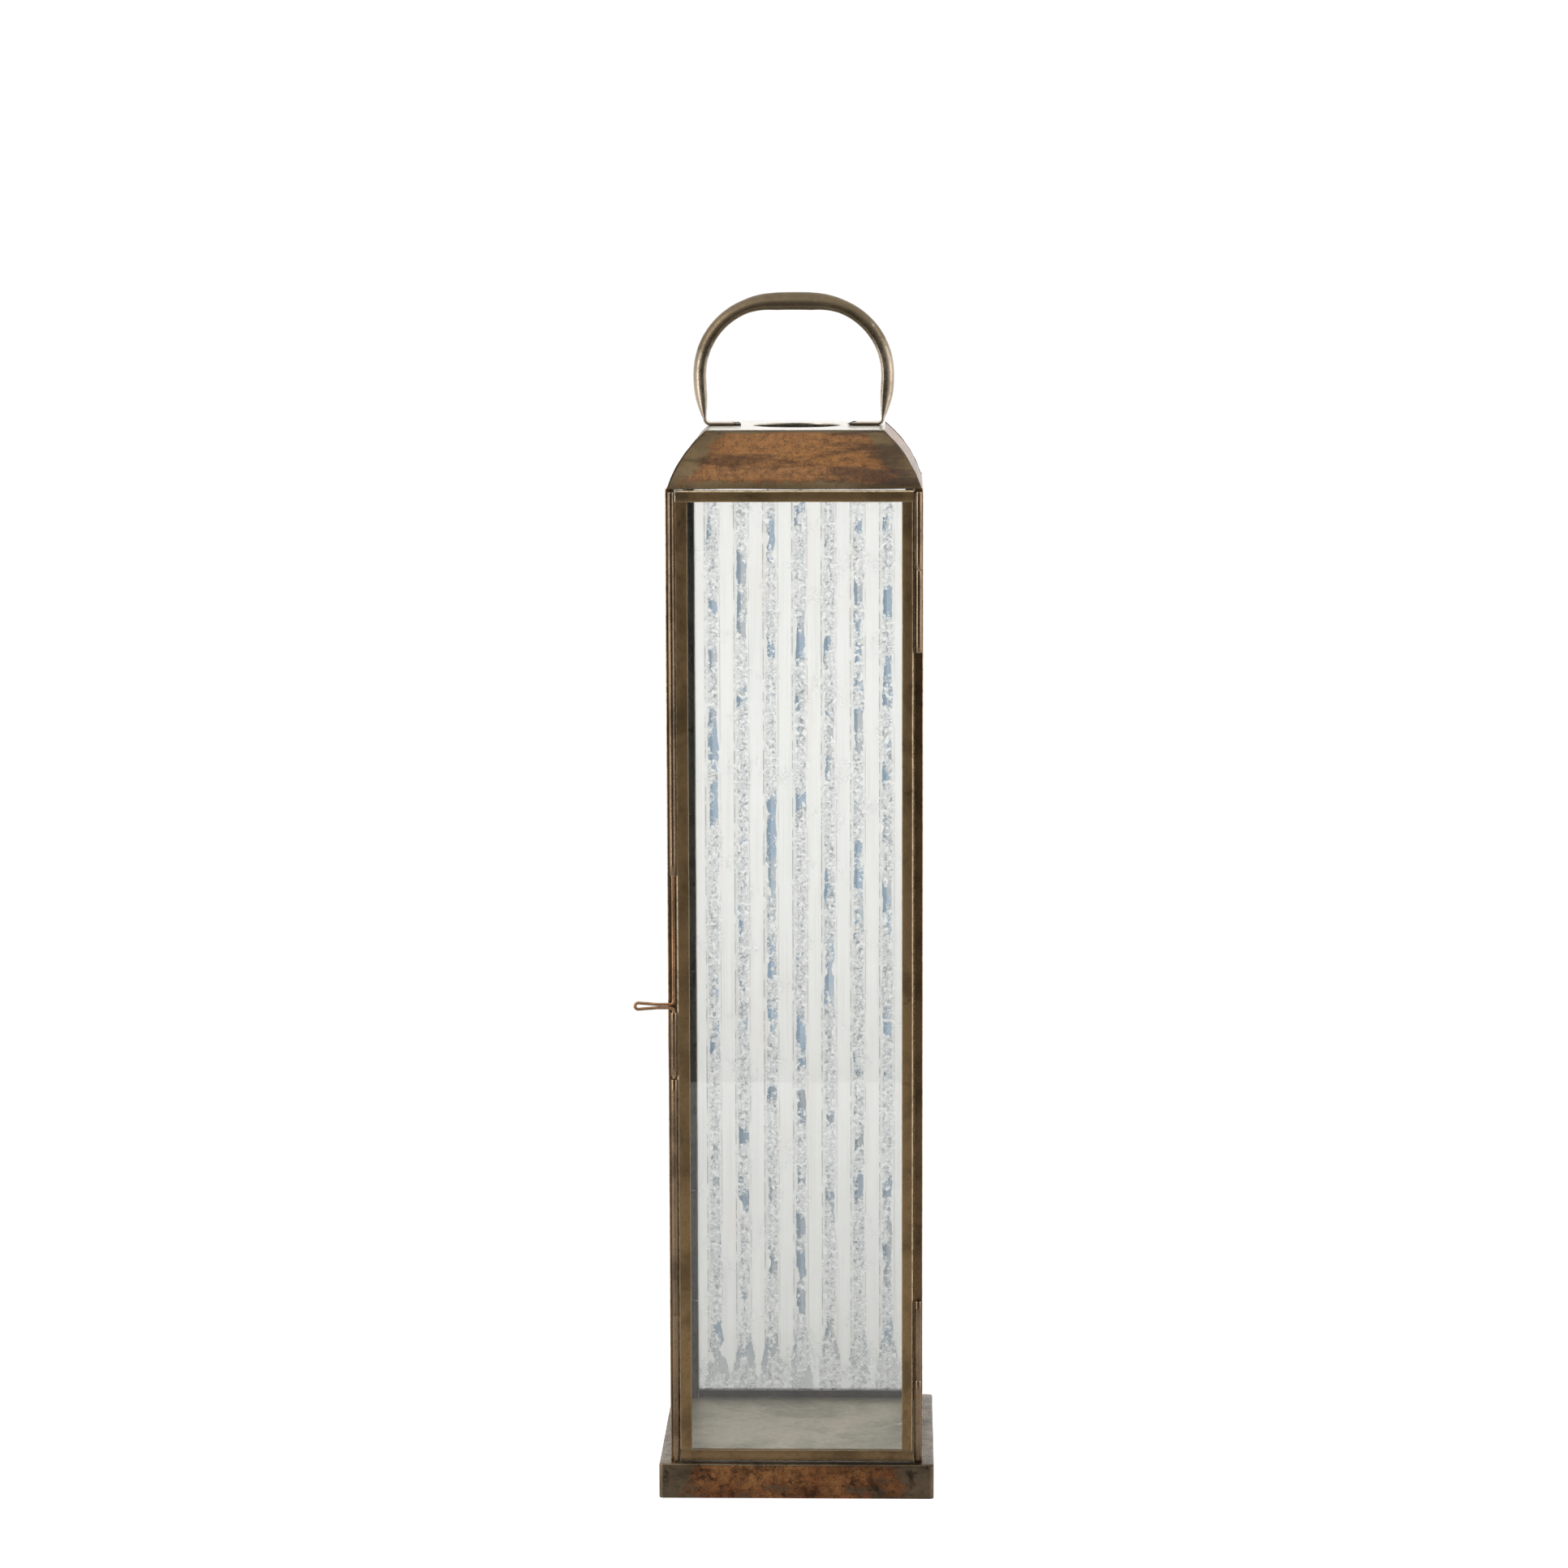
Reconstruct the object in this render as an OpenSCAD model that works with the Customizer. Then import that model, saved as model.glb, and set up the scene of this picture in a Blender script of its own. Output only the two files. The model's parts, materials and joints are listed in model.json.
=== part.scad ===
// Tall candle lantern in antiqued brass: a folded base pan, three walls of ribbed silvered
// glass, a hinged clear glass door with a lift-up drop bolt, a curved roof and a carrying arch.
// Millimetres. +Z is up, the origin is the middle of the base on the table, the door faces -Y.

/* [Base] */
// Side of the square base pan
base_w = 170; // [164:1:180]
// Height of the pan's skirt
base_h = 21.6; // [15:0.2:30]
// Radius of the pan's upright corners
base_corner_r = 2.5; // [1.5:0.5:5]
// Thickness of the folded sheet brass
sheet = 1; // [0.8:0.1:1.4]

/* [Body] */
// Outside width of the glazed body
body_w = 156; // [152:1:158]
// Height of the walls above the pan
wall_h = 603; // [560:1:640]
// Side of the square glazing channel that frames each wall
channel = 5.4; // [5:0.1:6]
// Depth of the groove that holds a wall's glass
channel_groove = 3; // [2.5:0.1:3.4]

/* [Ribbed glass] */
// Distance from one valley to the next
rib_pitch = 18.6; // [14:0.1:24]
// Height of a rib above the valleys on each face
rib_rise = 0.9; // [0.4:0.1:0.95]
// Thickness of the glass in the valleys
pane_t = 2.2; // [2:0.1:2.25]
// How far the pattern was cut off centre
rib_shift = 0; // [-9:0.5:9]

/* [Roof] */
// Width of the roof at its eaves
eave_w = 153.6; // [150:0.2:155]
// Side of the flat top plate
crown_w = 109; // [95:1:120]
// Height from the eaves to the underside of the top plate
roof_h = 33.4; // [28:0.2:40]
// How far each roof sheet bulges out from a flat slope
roof_bulge = 2.8; // [1:0.1:4]
// Diameter of the chimney hole
chimney_d = 54.8; // [40:0.2:60]

/* [Handle] */
// Outside diameter of the handle's tube
handle_tube_d = 11; // [8:0.5:12]
// Outside width of the arch
handle_w = 124.4; // [118:0.2:130]
// Length of the straight grip between the arch's two bends
grip_len = 26; // [10:1:40]
// Height of the arch above the top plate
handle_h = 82; // [74:1:95]
// Length of each foot soldered to the plate
foot_len = 15; // [10:1:18]
// Thickness of the tube where it is pinched flat
strap_t = 2; // [1.6:0.1:2.6]
// How far the handle was soldered off centre
handle_shift = -1.8; // [-3:0.1:3]

/* [Door] */
// Width of the face of the door's channels
door_came = 7; // [6:0.1:8]
// Thickness of the door
door_t = 4.4; // [4:0.1:5]
// Thickness of the door's clear glass
door_glass_t = 2; // [1.6:0.1:2.4]
// Gap between the door and the post at the hinge side
hinge_gap = 0.4; // [0.35:0.05:0.5]
// Gap between the door and the post at the latch side
latch_gap = 1; // [0.6:0.1:1.4]
// Gap above and below the door
door_clear = 0.8; // [0.5:0.1:1.2]

/* [Hinges and latch] */
// Diameter of the hinge pins and of the bolt's wire
wire_d = 2; // [1.8:0.05:2.1]
// Outside diameter of the hinge knuckles and guide tubes
tube_d = 3.7; // [3.6:0.1:3.8]
// Length of one hinge knuckle
knuckle_len = 50; // [30:1:60]
// Height of the joint between the upper hinge's knuckles
upper_hinge_z = 575.6; // [540:0.2:590]
// Height of the joint between the lower hinge's knuckles
lower_hinge_z = 74; // [70:0.2:120]
// Foot of the long guide tube on the door
guide_foot_z = 389; // [360:1:420]
// Length of each solder web of the long guide tube
guide_web_len = 38; // [20:1:60]
// Top of the short guide under the loop
short_guide_top_z = 304.4; // [290:0.2:320]
// Length of the short guide under the loop
short_guide_len = 39.2; // [30:0.2:50]
// Slit between the short guide and the keeper tube
keeper_slit = 2.6; // [1.6:0.1:4]
// Reach of the bolt's finger loop from the wire's axis
loop_reach = 24.7; // [18:0.1:30]

/* [Hidden] */
$fn = 64;

brass = [0.46, 0.37, 0.22];
brass_dark = [0.33, 0.27, 0.18];
copper_patina = [0.55, 0.33, 0.18];
silvered = [0.86, 0.87, 0.86];
clear_glass = [0.80, 0.88, 0.88, 0.35];

// Clearances and fits
glass_play = 0.2;
solder = 0.6;
running = 0.06;
eps = 0.01;

// Levels
wall_top = base_h + wall_h;
crown_z = wall_top + roof_h;
plate_top = crown_z + sheet;
door_bottom = base_h + door_clear;
door_top = wall_top - door_clear;

// Walls, measured from the middle
wall_out = body_w / 2;
wall_in = wall_out - channel;
wall_mid = wall_out - channel / 2;

// Door, its knuckles and its bolt
door_x0 = -wall_in + latch_gap;
door_x1 = wall_in - hinge_gap;
tube_y = -wall_out - tube_d / 2 - 0.35;
door_front = tube_y - 0.1;
door_mid = door_front + door_t / 2;
door_groove = 3.6;
hinge_x = wall_mid;
bolt_x = -wall_out + tube_d / 2 + 1.75;
upper_knuckle_top = min(upper_hinge_z + knuckle_len, door_top - 1);
lower_knuckle_foot = max(lower_hinge_z - knuckle_len, door_bottom + 0.4);
knuckle_gap = 0.4;
guide_top_z = door_top - 1;
short_guide_foot_z = short_guide_top_z - short_guide_len;
keeper_top_z = short_guide_foot_z - keeper_slit;

// Bolt: its wire and the finger loop bent in it
bolt_top_z = guide_foot_z + 135;
bolt_tip_z = keeper_top_z + 0.7;
loop_z = short_guide_top_z + 3.95;
loop_bend_r = 2.2;
loop_neck = 2.1;
loop_eye = 3.9;
loop_neck_len = 7.5;
loop_turn_r = 8;

// A glazing channel standing along Z, with its groove open toward +X
module glazing_channel(length, face, thickness, groove_w, groove_d) {
  linear_extrude(length)
    difference() {
      translate([0, -thickness / 2])
        square([face, thickness]);
      translate([face - groove_d, -groove_w / 2])
        square([groove_d + eps, groove_w]);
    }
}

// A channel of the walls, standing with its groove open toward +X
module wall_channel(length) {
  glazing_channel(length, channel, channel, pane_t + 2 * rib_rise + glass_play, channel_groove);
}

// A channel of the door, standing with its groove open toward +X
module door_channel(length) {
  glazing_channel(length, door_came, door_t, door_glass_t + glass_play, door_groove);
}

// Turn a standing piece so that it lies along +X, with its groove open toward +Z
module lie_along_x() {
  rotate([0, 90, 0])
    rotate([0, 0, 180])
      children();
}

// One rib's half on one face: the cap of a wide circle above the middle of the glass
module rib_cap() {
  half = rib_pitch / 2;
  r = (half * half + rib_rise * rib_rise) / (2 * rib_rise);
  intersection() {
    translate([0, pane_t / 2 + rib_rise - r])
      circle(r, $fn = 256);
    translate([-half, 0])
      square([rib_pitch, pane_t]);
  }
}

// A sheet of ribbed glass standing in the XZ plane, its ribs upright, its foot at z = 0
module ribbed_glass(width, height) {
  count = ceil(width / rib_pitch / 2) + 1;
  linear_extrude(height)
    intersection() {
      translate([-width / 2, -pane_t])
        square([width, 2 * pane_t]);
      for (i = [-count : count], face = [0, 1])
        translate([rib_shift + (i + 0.5) * rib_pitch, 0])
          mirror([0, face])
            rib_cap();
    }
}

// The back wall's frame and glass are drawn in place. A side wall is the same between its posts.
pane_z = base_h + channel - channel_groove + glass_play;
pane_h = wall_h - 2 * (channel - channel_groove + glass_play);
side_pane_w = 2 * (wall_in + channel_groove - glass_play);
back_pane_w = side_pane_w - 2 * channel;

module rail_pair_member(at_top, half_length) {
  translate([0, 0, at_top ? wall_top : base_h])
    mirror([0, 0, at_top ? 1 : 0])
      translate([-half_length, 0, 0])
        lie_along_x()
          wall_channel(2 * half_length);
}

// Turn the wall drawn along X at y = 0 to the left (-1) or the right (+1) side
module at_side(side) {
  translate([side * wall_mid, 0, 0])
    rotate([0, 0, 90])
      children();
}

module side_post(side, end) {
  color(brass_dark)
    at_side(side)
      translate([end * wall_out, 0, base_h])
        mirror([end > 0 ? 1 : 0, 0, 0])
          wall_channel(wall_h);
}

module side_rail(side, at_top) {
  color(brass_dark)
    at_side(side)
      rail_pair_member(at_top, wall_in);
}

module side_pane(side) {
  color(silvered)
    at_side(side)
      translate([0, 0, pane_z])
        ribbed_glass(side_pane_w, pane_h);
}

module back_stile(side) {
  color(brass_dark)
    translate([side * wall_in, wall_mid, base_h])
      mirror([side > 0 ? 1 : 0, 0, 0])
        wall_channel(wall_h);
}

module back_rail(at_top) {
  color(brass_dark)
    translate([0, wall_mid, 0])
      rail_pair_member(at_top, wall_in - channel);
}

module back_pane() {
  color(silvered)
    translate([0, wall_mid, pane_z])
      ribbed_glass(back_pane_w, pane_h);
}

// Folded pan, open underneath
module rounded_square(side, r) {
  square([side, side - 2 * r], center = true);
  square([side - 2 * r, side], center = true);
  for (x = [-1, 1], y = [-1, 1])
    translate([x * (side / 2 - r), y * (side / 2 - r)])
      circle(r);
}

module base_pan() {
  color(copper_patina)
    difference() {
      linear_extrude(base_h)
        rounded_square(base_w, base_corner_r);
      translate([0, 0, -sheet])
        linear_extrude(base_h)
          rounded_square(base_w - 2 * sheet, base_corner_r - sheet);
    }
}

// A roof sheet is part of a round shell, mitred to its neighbours at 45 degrees. Drawn facing +X.
module roof_sheet() {
  run = (eave_w - crown_w) / 2;
  chord = sqrt(run * run + roof_h * roof_h);
  r = chord * chord / (8 * roof_bulge) + roof_bulge / 2;
  out = [roof_h / chord, run / chord];
  mid = [(eave_w + crown_w) / 4, wall_top + roof_h / 2];
  centre = mid - (r - roof_bulge) * out;
  intersection() {
    translate([centre[0], eave_w / 2, centre[1]])
      rotate([90, 0, 0])
        difference() {
          cylinder(r = r, h = eave_w, $fn = 360);
          translate([0, 0, -eps])
            cylinder(r = r - sheet, h = eave_w + 2 * eps, $fn = 360);
        }
    translate([0, 0, wall_top])
      linear_extrude(roof_h)
        polygon([[0, 0], [eave_w, -eave_w], [eave_w, eave_w]]);
  }
}

module roof_side(turn) {
  color(copper_patina)
    rotate([0, 0, turn])
      roof_sheet();
}

module top_plate() {
  color(brass)
    translate([0, 0, crown_z])
      difference() {
        linear_extrude(sheet)
          square(crown_w, center = true);
        translate([0, 0, -eps])
          cylinder(d = chimney_d, h = sheet + 2 * eps);
      }
}

// A skin swept along stations of the XZ plane, each [x, z, half thickness, half width, squareness].
// Squareness is 1 for a round section and smaller for one with flatter sides.
function signed_power(v, e) = (v < 0 ? -1 : 1) * pow(abs(v), e);

function sweep_ring(stations, i, sides) =
  let (
    s = stations[i],
    before = stations[max(i - 1, 0)],
    after = stations[min(i + 1, len(stations) - 1)],
    step = [after[0] - before[0], after[1] - before[1]],
    along = step / norm(step)
  )
  [
    for (k = [0 : sides - 1])
      let (
        a = 360 * (k + 0.5) / sides,
        across = s[2] * signed_power(cos(a), s[4]),
        wide = s[3] * signed_power(sin(a), s[4])
      )
      [s[0] + across * along[1], wide, s[1] - across * along[0]]
  ];

module sweep(stations, sides) {
  last = len(stations) - 1;
  skin = [for (i = [0 : last]) each sweep_ring(stations, i, sides)];
  walls = [
    for (i = [0 : last - 1], k = [0 : sides - 1])
      let (a = i * sides + k, b = i * sides + (k + 1) % sides)
        each [[a, b + sides, b], [a, a + sides, b + sides]]
  ];
  ends = [[for (k = [0 : sides - 1]) k], [for (k = [sides - 1 : -1 : 0]) last * sides + k]];
  polyhedron(skin, concat(walls, ends));
}

// The stations of half a symmetrical sweep, carried on through the mirror line at mirror_axis
function carried_on(half, mirror_axis) =
  concat(
    half,
    [
      for (i = [len(half) - 2 : -1 : 0])
        [for (k = [0 : 4]) k == mirror_axis ? -half[i][k] : half[i][k]]
    ]
  );

// Handle: one tube bent in an arch, its ends pinched flat and turned in to make two feet.
// Flatness is 0 on the round tube and 1 on the strap, and the bends are a little flat.
strap_bend_r = 3.4;
strap_z = plate_top + strap_t / 2;
bend_flatness = 0.24;
leg_flatness = 0.32;
pinch_len = 18;
bend_ease_deg = 26;
grip_crown = 0.25;
leg_r = handle_half_t(leg_flatness);
arch_a = handle_w / 2 - leg_r;
arch_bend_r = arch_a - grip_len / 2;
grip_z = plate_top + handle_h - handle_tube_d / 2;
spring_z = grip_z - arch_bend_r;
neck_x = arch_a - 2.9;
neck_z = strap_z + strap_bend_r;
function handle_half_t(flatness) = (handle_tube_d * (1 - flatness) + strap_t * flatness) / 2;
function handle_station(x, z, flatness) = [
  x,
  z,
  handle_half_t(flatness),
  handle_tube_d / 2 * (1 + 0.3 * flatness),
  1 - 0.5 * flatness
];
function leg_flat_at(z) = leg_flatness + (1 - leg_flatness) * pow(max(0, 1 - (z - neck_z) / pinch_len), 1.7);
function bend_flat_at(a) =
  (leg_flatness + (bend_flatness - leg_flatness) * a / 90) * min(1, 0.15 + (90 - a) / bend_ease_deg);
half_handle = [
  for (i = [0 : 2]) handle_station(neck_x - strap_bend_r - foot_len * (1 - i / 3), strap_z, 1),
  for (a = [-90 : 18 : 0])
    handle_station(neck_x + strap_bend_r * (cos(a) - 1), strap_z + strap_bend_r * (1 + sin(a)), 1),
  for (i = [1 : 12])
    let (u = i / 12, z = neck_z + (spring_z - neck_z) * u)
      handle_station(neck_x + (arch_a - neck_x) * sin(90 * u), z, leg_flat_at(z)),
  for (a = [6 : 6 : 90])
    handle_station(
      grip_len / 2 + arch_bend_r * cos(a),
      spring_z + (arch_bend_r - grip_crown) * sin(a),
      bend_flat_at(a)
    ),
  handle_station(grip_len / 4, grip_z - grip_crown / 4, 0),
  handle_station(0, grip_z, 0)
];

module handle() {
  color(brass_dark)
    translate([handle_shift, 0, 0])
      sweep(carried_on(half_handle, 0), 20);
}

// A knuckle or guide tube standing between two heights
module tube(x, foot, top, bore_d) {
  translate([x, tube_y, foot])
    difference() {
      cylinder(d = tube_d, h = top - foot);
      translate([0, 0, -eps])
        cylinder(d = bore_d, h = top - foot + 2 * eps);
    }
}

// The strip of solder that joins a tube to the post behind it
module web_to_post(x, foot, top) {
  translate([x - solder, tube_y + tube_d / 2 - solder, foot])
    cube([2 * solder, -wall_out - tube_y - tube_d / 2 + solder, top - foot]);
}

// The strip of solder that joins a tube to the door's edge at x = edge
module web_to_door(x, edge, foot, top) {
  start = x < edge ? x + tube_d / 2 - solder : edge;
  end = x < edge ? edge : x - tube_d / 2 + solder;
  translate([start, tube_y, foot])
    cube([end - start, 2 * solder, top - foot]);
}

module body_knuckle(foot, top) {
  color(brass_dark) {
    tube(hinge_x, foot, top, wire_d);
    web_to_post(hinge_x, foot, top);
  }
}

module door_knuckle(foot, top) {
  color(brass_dark) {
    tube(hinge_x, foot, top, wire_d + 2 * running);
    web_to_door(hinge_x, door_x1, foot, top);
  }
}

module hinge_pin(foot, top) {
  color(brass)
    translate([hinge_x, tube_y, foot])
      cylinder(d = wire_d, h = top - foot);
}

module keeper_tube() {
  color(brass_dark) {
    tube(bolt_x, base_h, keeper_top_z, wire_d + 2 * running);
    web_to_post(bolt_x, base_h, keeper_top_z);
  }
}

module guide_tube() {
  color(brass_dark) {
    tube(bolt_x, guide_foot_z, guide_top_z, wire_d + 2 * running);
    web_to_door(bolt_x, door_x0, guide_foot_z, guide_foot_z + guide_web_len);
    web_to_door(bolt_x, door_x0, guide_top_z - guide_web_len, guide_top_z);
  }
}

module short_guide() {
  color(brass_dark) {
    tube(bolt_x, short_guide_foot_z, short_guide_top_z, wire_d + 2 * running);
    web_to_door(bolt_x, door_x0, short_guide_foot_z, short_guide_top_z);
  }
}

// Door: the rails run its full width and the stiles stand between them
module door_rail(at_top) {
  color(brass)
    translate([door_x0, door_mid, at_top ? door_top : door_bottom])
      mirror([0, 0, at_top ? 1 : 0])
        lie_along_x()
          door_channel(door_x1 - door_x0);
}

module door_stile(edge, flip) {
  color(brass)
    translate([edge, door_mid, door_bottom + door_came])
      mirror([flip, 0, 0])
        door_channel(door_top - door_bottom - 2 * door_came);
}

module door_glass() {
  inset = door_came - door_groove + glass_play;
  color(clear_glass)
    translate([door_x0 + inset, door_mid - door_glass_t / 2, door_bottom + inset])
      cube([door_x1 - door_x0 - 2 * inset, door_glass_t, door_top - door_bottom - 2 * inset]);
}

// The bolt's finger loop, from its upper leg round the eye to its lower leg, about z = 0.
// The wire leaves the neck on a wide bend and runs straight on to touch the round eye.
// It is a hair thinner than the legs, so that its ends close inside them.
loop_wire_r = wire_d / 2 - 0.03;
neck_end = [-loop_bend_r - loop_neck_len, loop_neck / 2];
eye_r = loop_eye / 2;
eye_x = -loop_reach + wire_d / 2 + eye_r;
splay_span = [neck_end[0] - eye_x, neck_end[1] + loop_turn_r];
splay = atan2(splay_span[0], splay_span[1]) - acos((eye_r + loop_turn_r) / norm(splay_span));
function loop_station(x, z) = [x, z, loop_wire_r, loop_wire_r, 1];
half_loop = [
  loop_station(0, neck_end[1] + loop_bend_r),
  for (a = [-15 : -15 : -90])
    loop_station(loop_bend_r * (cos(a) - 1), neck_end[1] + loop_bend_r * (1 + sin(a))),
  for (a = [0 : splay / 2 : splay])
    loop_station(neck_end[0] - loop_turn_r * sin(a), splay_span[1] - loop_turn_r * cos(a)),
  for (k = [0 : 8])
    let (a = 90 - splay + (90 + splay) * k / 8)
      loop_station(eye_x + eye_r * cos(a), eye_r * sin(a))
];

module bolt() {
  color(brass)
    translate([bolt_x, tube_y, loop_z]) {
      leg = neck_end[1] + loop_bend_r;
      translate([0, 0, leg])
        cylinder(d = wire_d, h = bolt_top_z - loop_z - leg);
      translate([0, 0, bolt_tip_z - loop_z])
        cylinder(d = wire_d, h = loop_z - leg - bolt_tip_z);
      sweep(carried_on(half_loop, 1), 16);
    }
}

base_pan();
side_post(-1, -1);  // left_front_post
side_post(-1, 1);  // left_back_post
side_rail(-1, true);  // left_top_rail
side_rail(-1, false);  // left_bottom_rail
side_pane(-1);  // left_pane
side_post(1, -1);  // right_front_post
side_post(1, 1);  // right_back_post
side_rail(1, true);  // right_top_rail
side_rail(1, false);  // right_bottom_rail
side_pane(1);  // right_pane
back_stile(-1);  // back_left_stile
back_stile(1);  // back_right_stile
back_rail(true);  // back_top_rail
back_rail(false);  // back_bottom_rail
back_pane();
roof_side(-90);  // roof_front
roof_side(90);  // roof_back
roof_side(180);  // roof_left
roof_side(0);  // roof_right
top_plate();
handle();
body_knuckle(upper_hinge_z - knuckle_len, upper_hinge_z - knuckle_gap / 2);  // upper_body_knuckle
body_knuckle(lower_hinge_z + knuckle_gap / 2, lower_hinge_z + knuckle_len);  // lower_body_knuckle
hinge_pin(upper_hinge_z - knuckle_len, upper_knuckle_top);  // upper_hinge_pin
hinge_pin(lower_knuckle_foot, lower_hinge_z + knuckle_len);  // lower_hinge_pin
keeper_tube();
door_rail(true);  // door_top_rail
door_rail(false);  // door_bottom_rail
door_stile(door_x0, 0);  // door_latch_stile
door_stile(door_x1, 1);  // door_hinge_stile
door_glass();
door_knuckle(upper_hinge_z + knuckle_gap / 2, upper_knuckle_top);  // upper_door_knuckle
door_knuckle(lower_knuckle_foot, lower_hinge_z - knuckle_gap / 2);  // lower_door_knuckle
guide_tube();
short_guide();
bolt();
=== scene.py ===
"""The looks of a tall candle lantern in antiqued brass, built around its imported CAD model."""
import json
import math

import bmesh
import bpy
from mathutils import Matrix, Vector, noise


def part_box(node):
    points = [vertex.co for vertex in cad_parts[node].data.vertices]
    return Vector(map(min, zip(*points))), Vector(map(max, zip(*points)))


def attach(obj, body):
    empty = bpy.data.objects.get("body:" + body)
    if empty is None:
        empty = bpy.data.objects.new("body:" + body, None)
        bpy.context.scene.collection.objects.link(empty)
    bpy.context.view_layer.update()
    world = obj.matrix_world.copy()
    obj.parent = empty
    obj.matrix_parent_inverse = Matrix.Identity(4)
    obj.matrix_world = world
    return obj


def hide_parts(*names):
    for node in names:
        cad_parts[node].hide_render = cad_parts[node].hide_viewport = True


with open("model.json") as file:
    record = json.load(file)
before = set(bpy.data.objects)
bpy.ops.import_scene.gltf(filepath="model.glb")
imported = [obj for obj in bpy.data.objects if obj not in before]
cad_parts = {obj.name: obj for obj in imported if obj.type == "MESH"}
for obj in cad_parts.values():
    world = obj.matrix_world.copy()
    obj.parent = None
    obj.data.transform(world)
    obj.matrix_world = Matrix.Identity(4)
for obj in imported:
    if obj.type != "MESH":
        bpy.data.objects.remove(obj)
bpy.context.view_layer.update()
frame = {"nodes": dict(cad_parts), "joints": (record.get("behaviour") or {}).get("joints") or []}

MM = 0.001
HAND_SEED = 7

noise.seed_set(HAND_SEED)  # the marks of hand work are the same on every run


# ---------------------------------------------------------------- mesh helpers

def finish_piece(name, bm, material, body, stands_for=(), sharp_deg=35):
    """Closes a bmesh as a smooth piece that rides on a body and stands for some CAD nodes."""
    bmesh.ops.recalc_face_normals(bm, faces=bm.faces)
    mesh = bpy.data.meshes.new(name)
    bm.to_mesh(mesh)
    bm.free()
    mesh.shade_smooth()
    mesh.set_sharp_from_angle(angle=math.radians(sharp_deg))
    mesh.materials.append(material)
    piece = bpy.data.objects.new(name, mesh)
    bpy.context.scene.collection.objects.link(piece)
    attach(piece, body)
    if stands_for:
        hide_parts(*stands_for)
    return piece


def wear_and_highlight_layer(bm):
    """The face attribute that says where a piece is rubbed bright, and where a highlight is painted along its
    edges.
    """
    return bm.faces.layers.float.get("wear") or bm.faces.layers.float.new("wear")


def soften(bm, edges, width, segments=2, wear=1.0):
    """Rounds some edges and marks the round as rubbed bright: worn metal, and also a painted highlight along
    the edge.
    """
    made = bmesh.ops.bevel(
        bm, geom=list(edges), offset=width, offset_type="OFFSET", segments=segments,
        profile=0.5, affect="EDGES", material=-1, clamp_overlap=True,
    )
    layer = wear_and_highlight_layer(bm)
    for face in made["faces"]:
        if face.is_valid:
            face[layer] = wear


def mark_middle(bm, rule):
    """Writes a value for each point that sets the bloom of copper there: on a sheet how far the point is from
    its edges, and on the handle its height, where the darker bloom is painted shade on the top of the arch.
    """
    layer = bm.verts.layers.float.new("middle")
    for vert in bm.verts:
        vert[layer] = max(0.0, min(1.0, rule(vert.co)))


def hand_worked(bm, amount, grain, verts=None):
    """Moves points a little, as hammering and bending by hand leave them."""
    for vert in verts or bm.verts:
        vert.co += noise.noise_vector(vert.co * grain) * amount


def ring(bm, centre, across, wide, half_t, half_w, sides, squareness=1.0, lean=0.0):
    """One ring of a swept tube: a circle squeezed to its section and set square to the path.
    Lean moves the crest of the section across, as the outside of a bend flattens."""
    made = bmesh.ops.create_circle(bm, segments=sides, radius=1.0)
    for vert in made["verts"]:
        c, s = vert.co.x, vert.co.y
        c = math.copysign(abs(c) ** squareness, c)
        s = math.copysign(abs(s) ** squareness, s)
        vert.co = centre + across * (half_t * (c + lean * (1 - c * c))) + wide * (half_w * s)
    return made["verts"]


def ring_edges(verts):
    """The edges that join the points of one ring."""
    inside = set(verts)
    return list({e for v in verts for e in v.link_edges if e.other_vert(v) in inside})


def sweep(bm, stations, wide, sides, capped=True, lean=0.0):
    """Bridges rings set along stations, each (point, half thickness, half width, squareness)."""
    last = None
    for i, (point, half_t, half_w, squareness) in enumerate(stations):
        before = stations[max(i - 1, 0)][0]
        after = stations[min(i + 1, len(stations) - 1)][0]
        along = (after - before).normalized()
        across = wide.cross(along).normalized()
        verts = ring(bm, point, across, wide, half_t, half_w, sides, squareness, lean)
        if last is None:
            if capped:
                bmesh.ops.contextual_create(bm, geom=ring_edges(verts))
        else:
            bmesh.ops.bridge_loops(bm, edges=ring_edges(last) + ring_edges(verts))
        last = verts
    if capped:
        bmesh.ops.contextual_create(bm, geom=ring_edges(last))


# ---------------------------------------------------------------- node helpers

def linear(hex_colour):
    """A hex colour as the linear values that a shader takes."""
    values = [int(hex_colour[i:i + 2], 16) / 255 for i in (1, 3, 5)]
    return tuple(v / 12.92 if v <= 0.04045 else ((v + 0.055) / 1.055) ** 2.4 for v in values) + (1.0,)


def add(tree, kind, inputs=None, **settings):
    """Adds a node, sets it, and fills its inputs with values or links."""
    made = tree.nodes.new(kind)
    for key, value in settings.items():
        setattr(made, key, value)
    for key, value in (inputs or {}).items():
        socket = made.inputs[key]
        if isinstance(value, bpy.types.NodeSocket):
            tree.links.new(value, socket)
        else:
            socket.default_value = value
    return made


def maths(tree, operation, a, b=0.0, c=0.0, clamp=False):
    return add(tree, "ShaderNodeMath", {0: a, 1: b, 2: c}, operation=operation, use_clamp=clamp).outputs[0]


def times(tree, a, b):
    return maths(tree, "MULTIPLY", a, b)


def plus(tree, a, b):
    return maths(tree, "ADD", a, b)


def minus(tree, a, b):
    return maths(tree, "SUBTRACT", a, b)


def most(tree, a, b):
    return maths(tree, "MAXIMUM", a, b)


def between(tree, value, low, high, out_low=0.0, out_high=1.0):
    """A smooth step from low to high."""
    made = add(
        tree, "ShaderNodeMapRange", {0: value, 1: low, 2: high, 3: out_low, 4: out_high},
        interpolation_type="SMOOTHSTEP",
    )
    return made.outputs[0]


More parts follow.
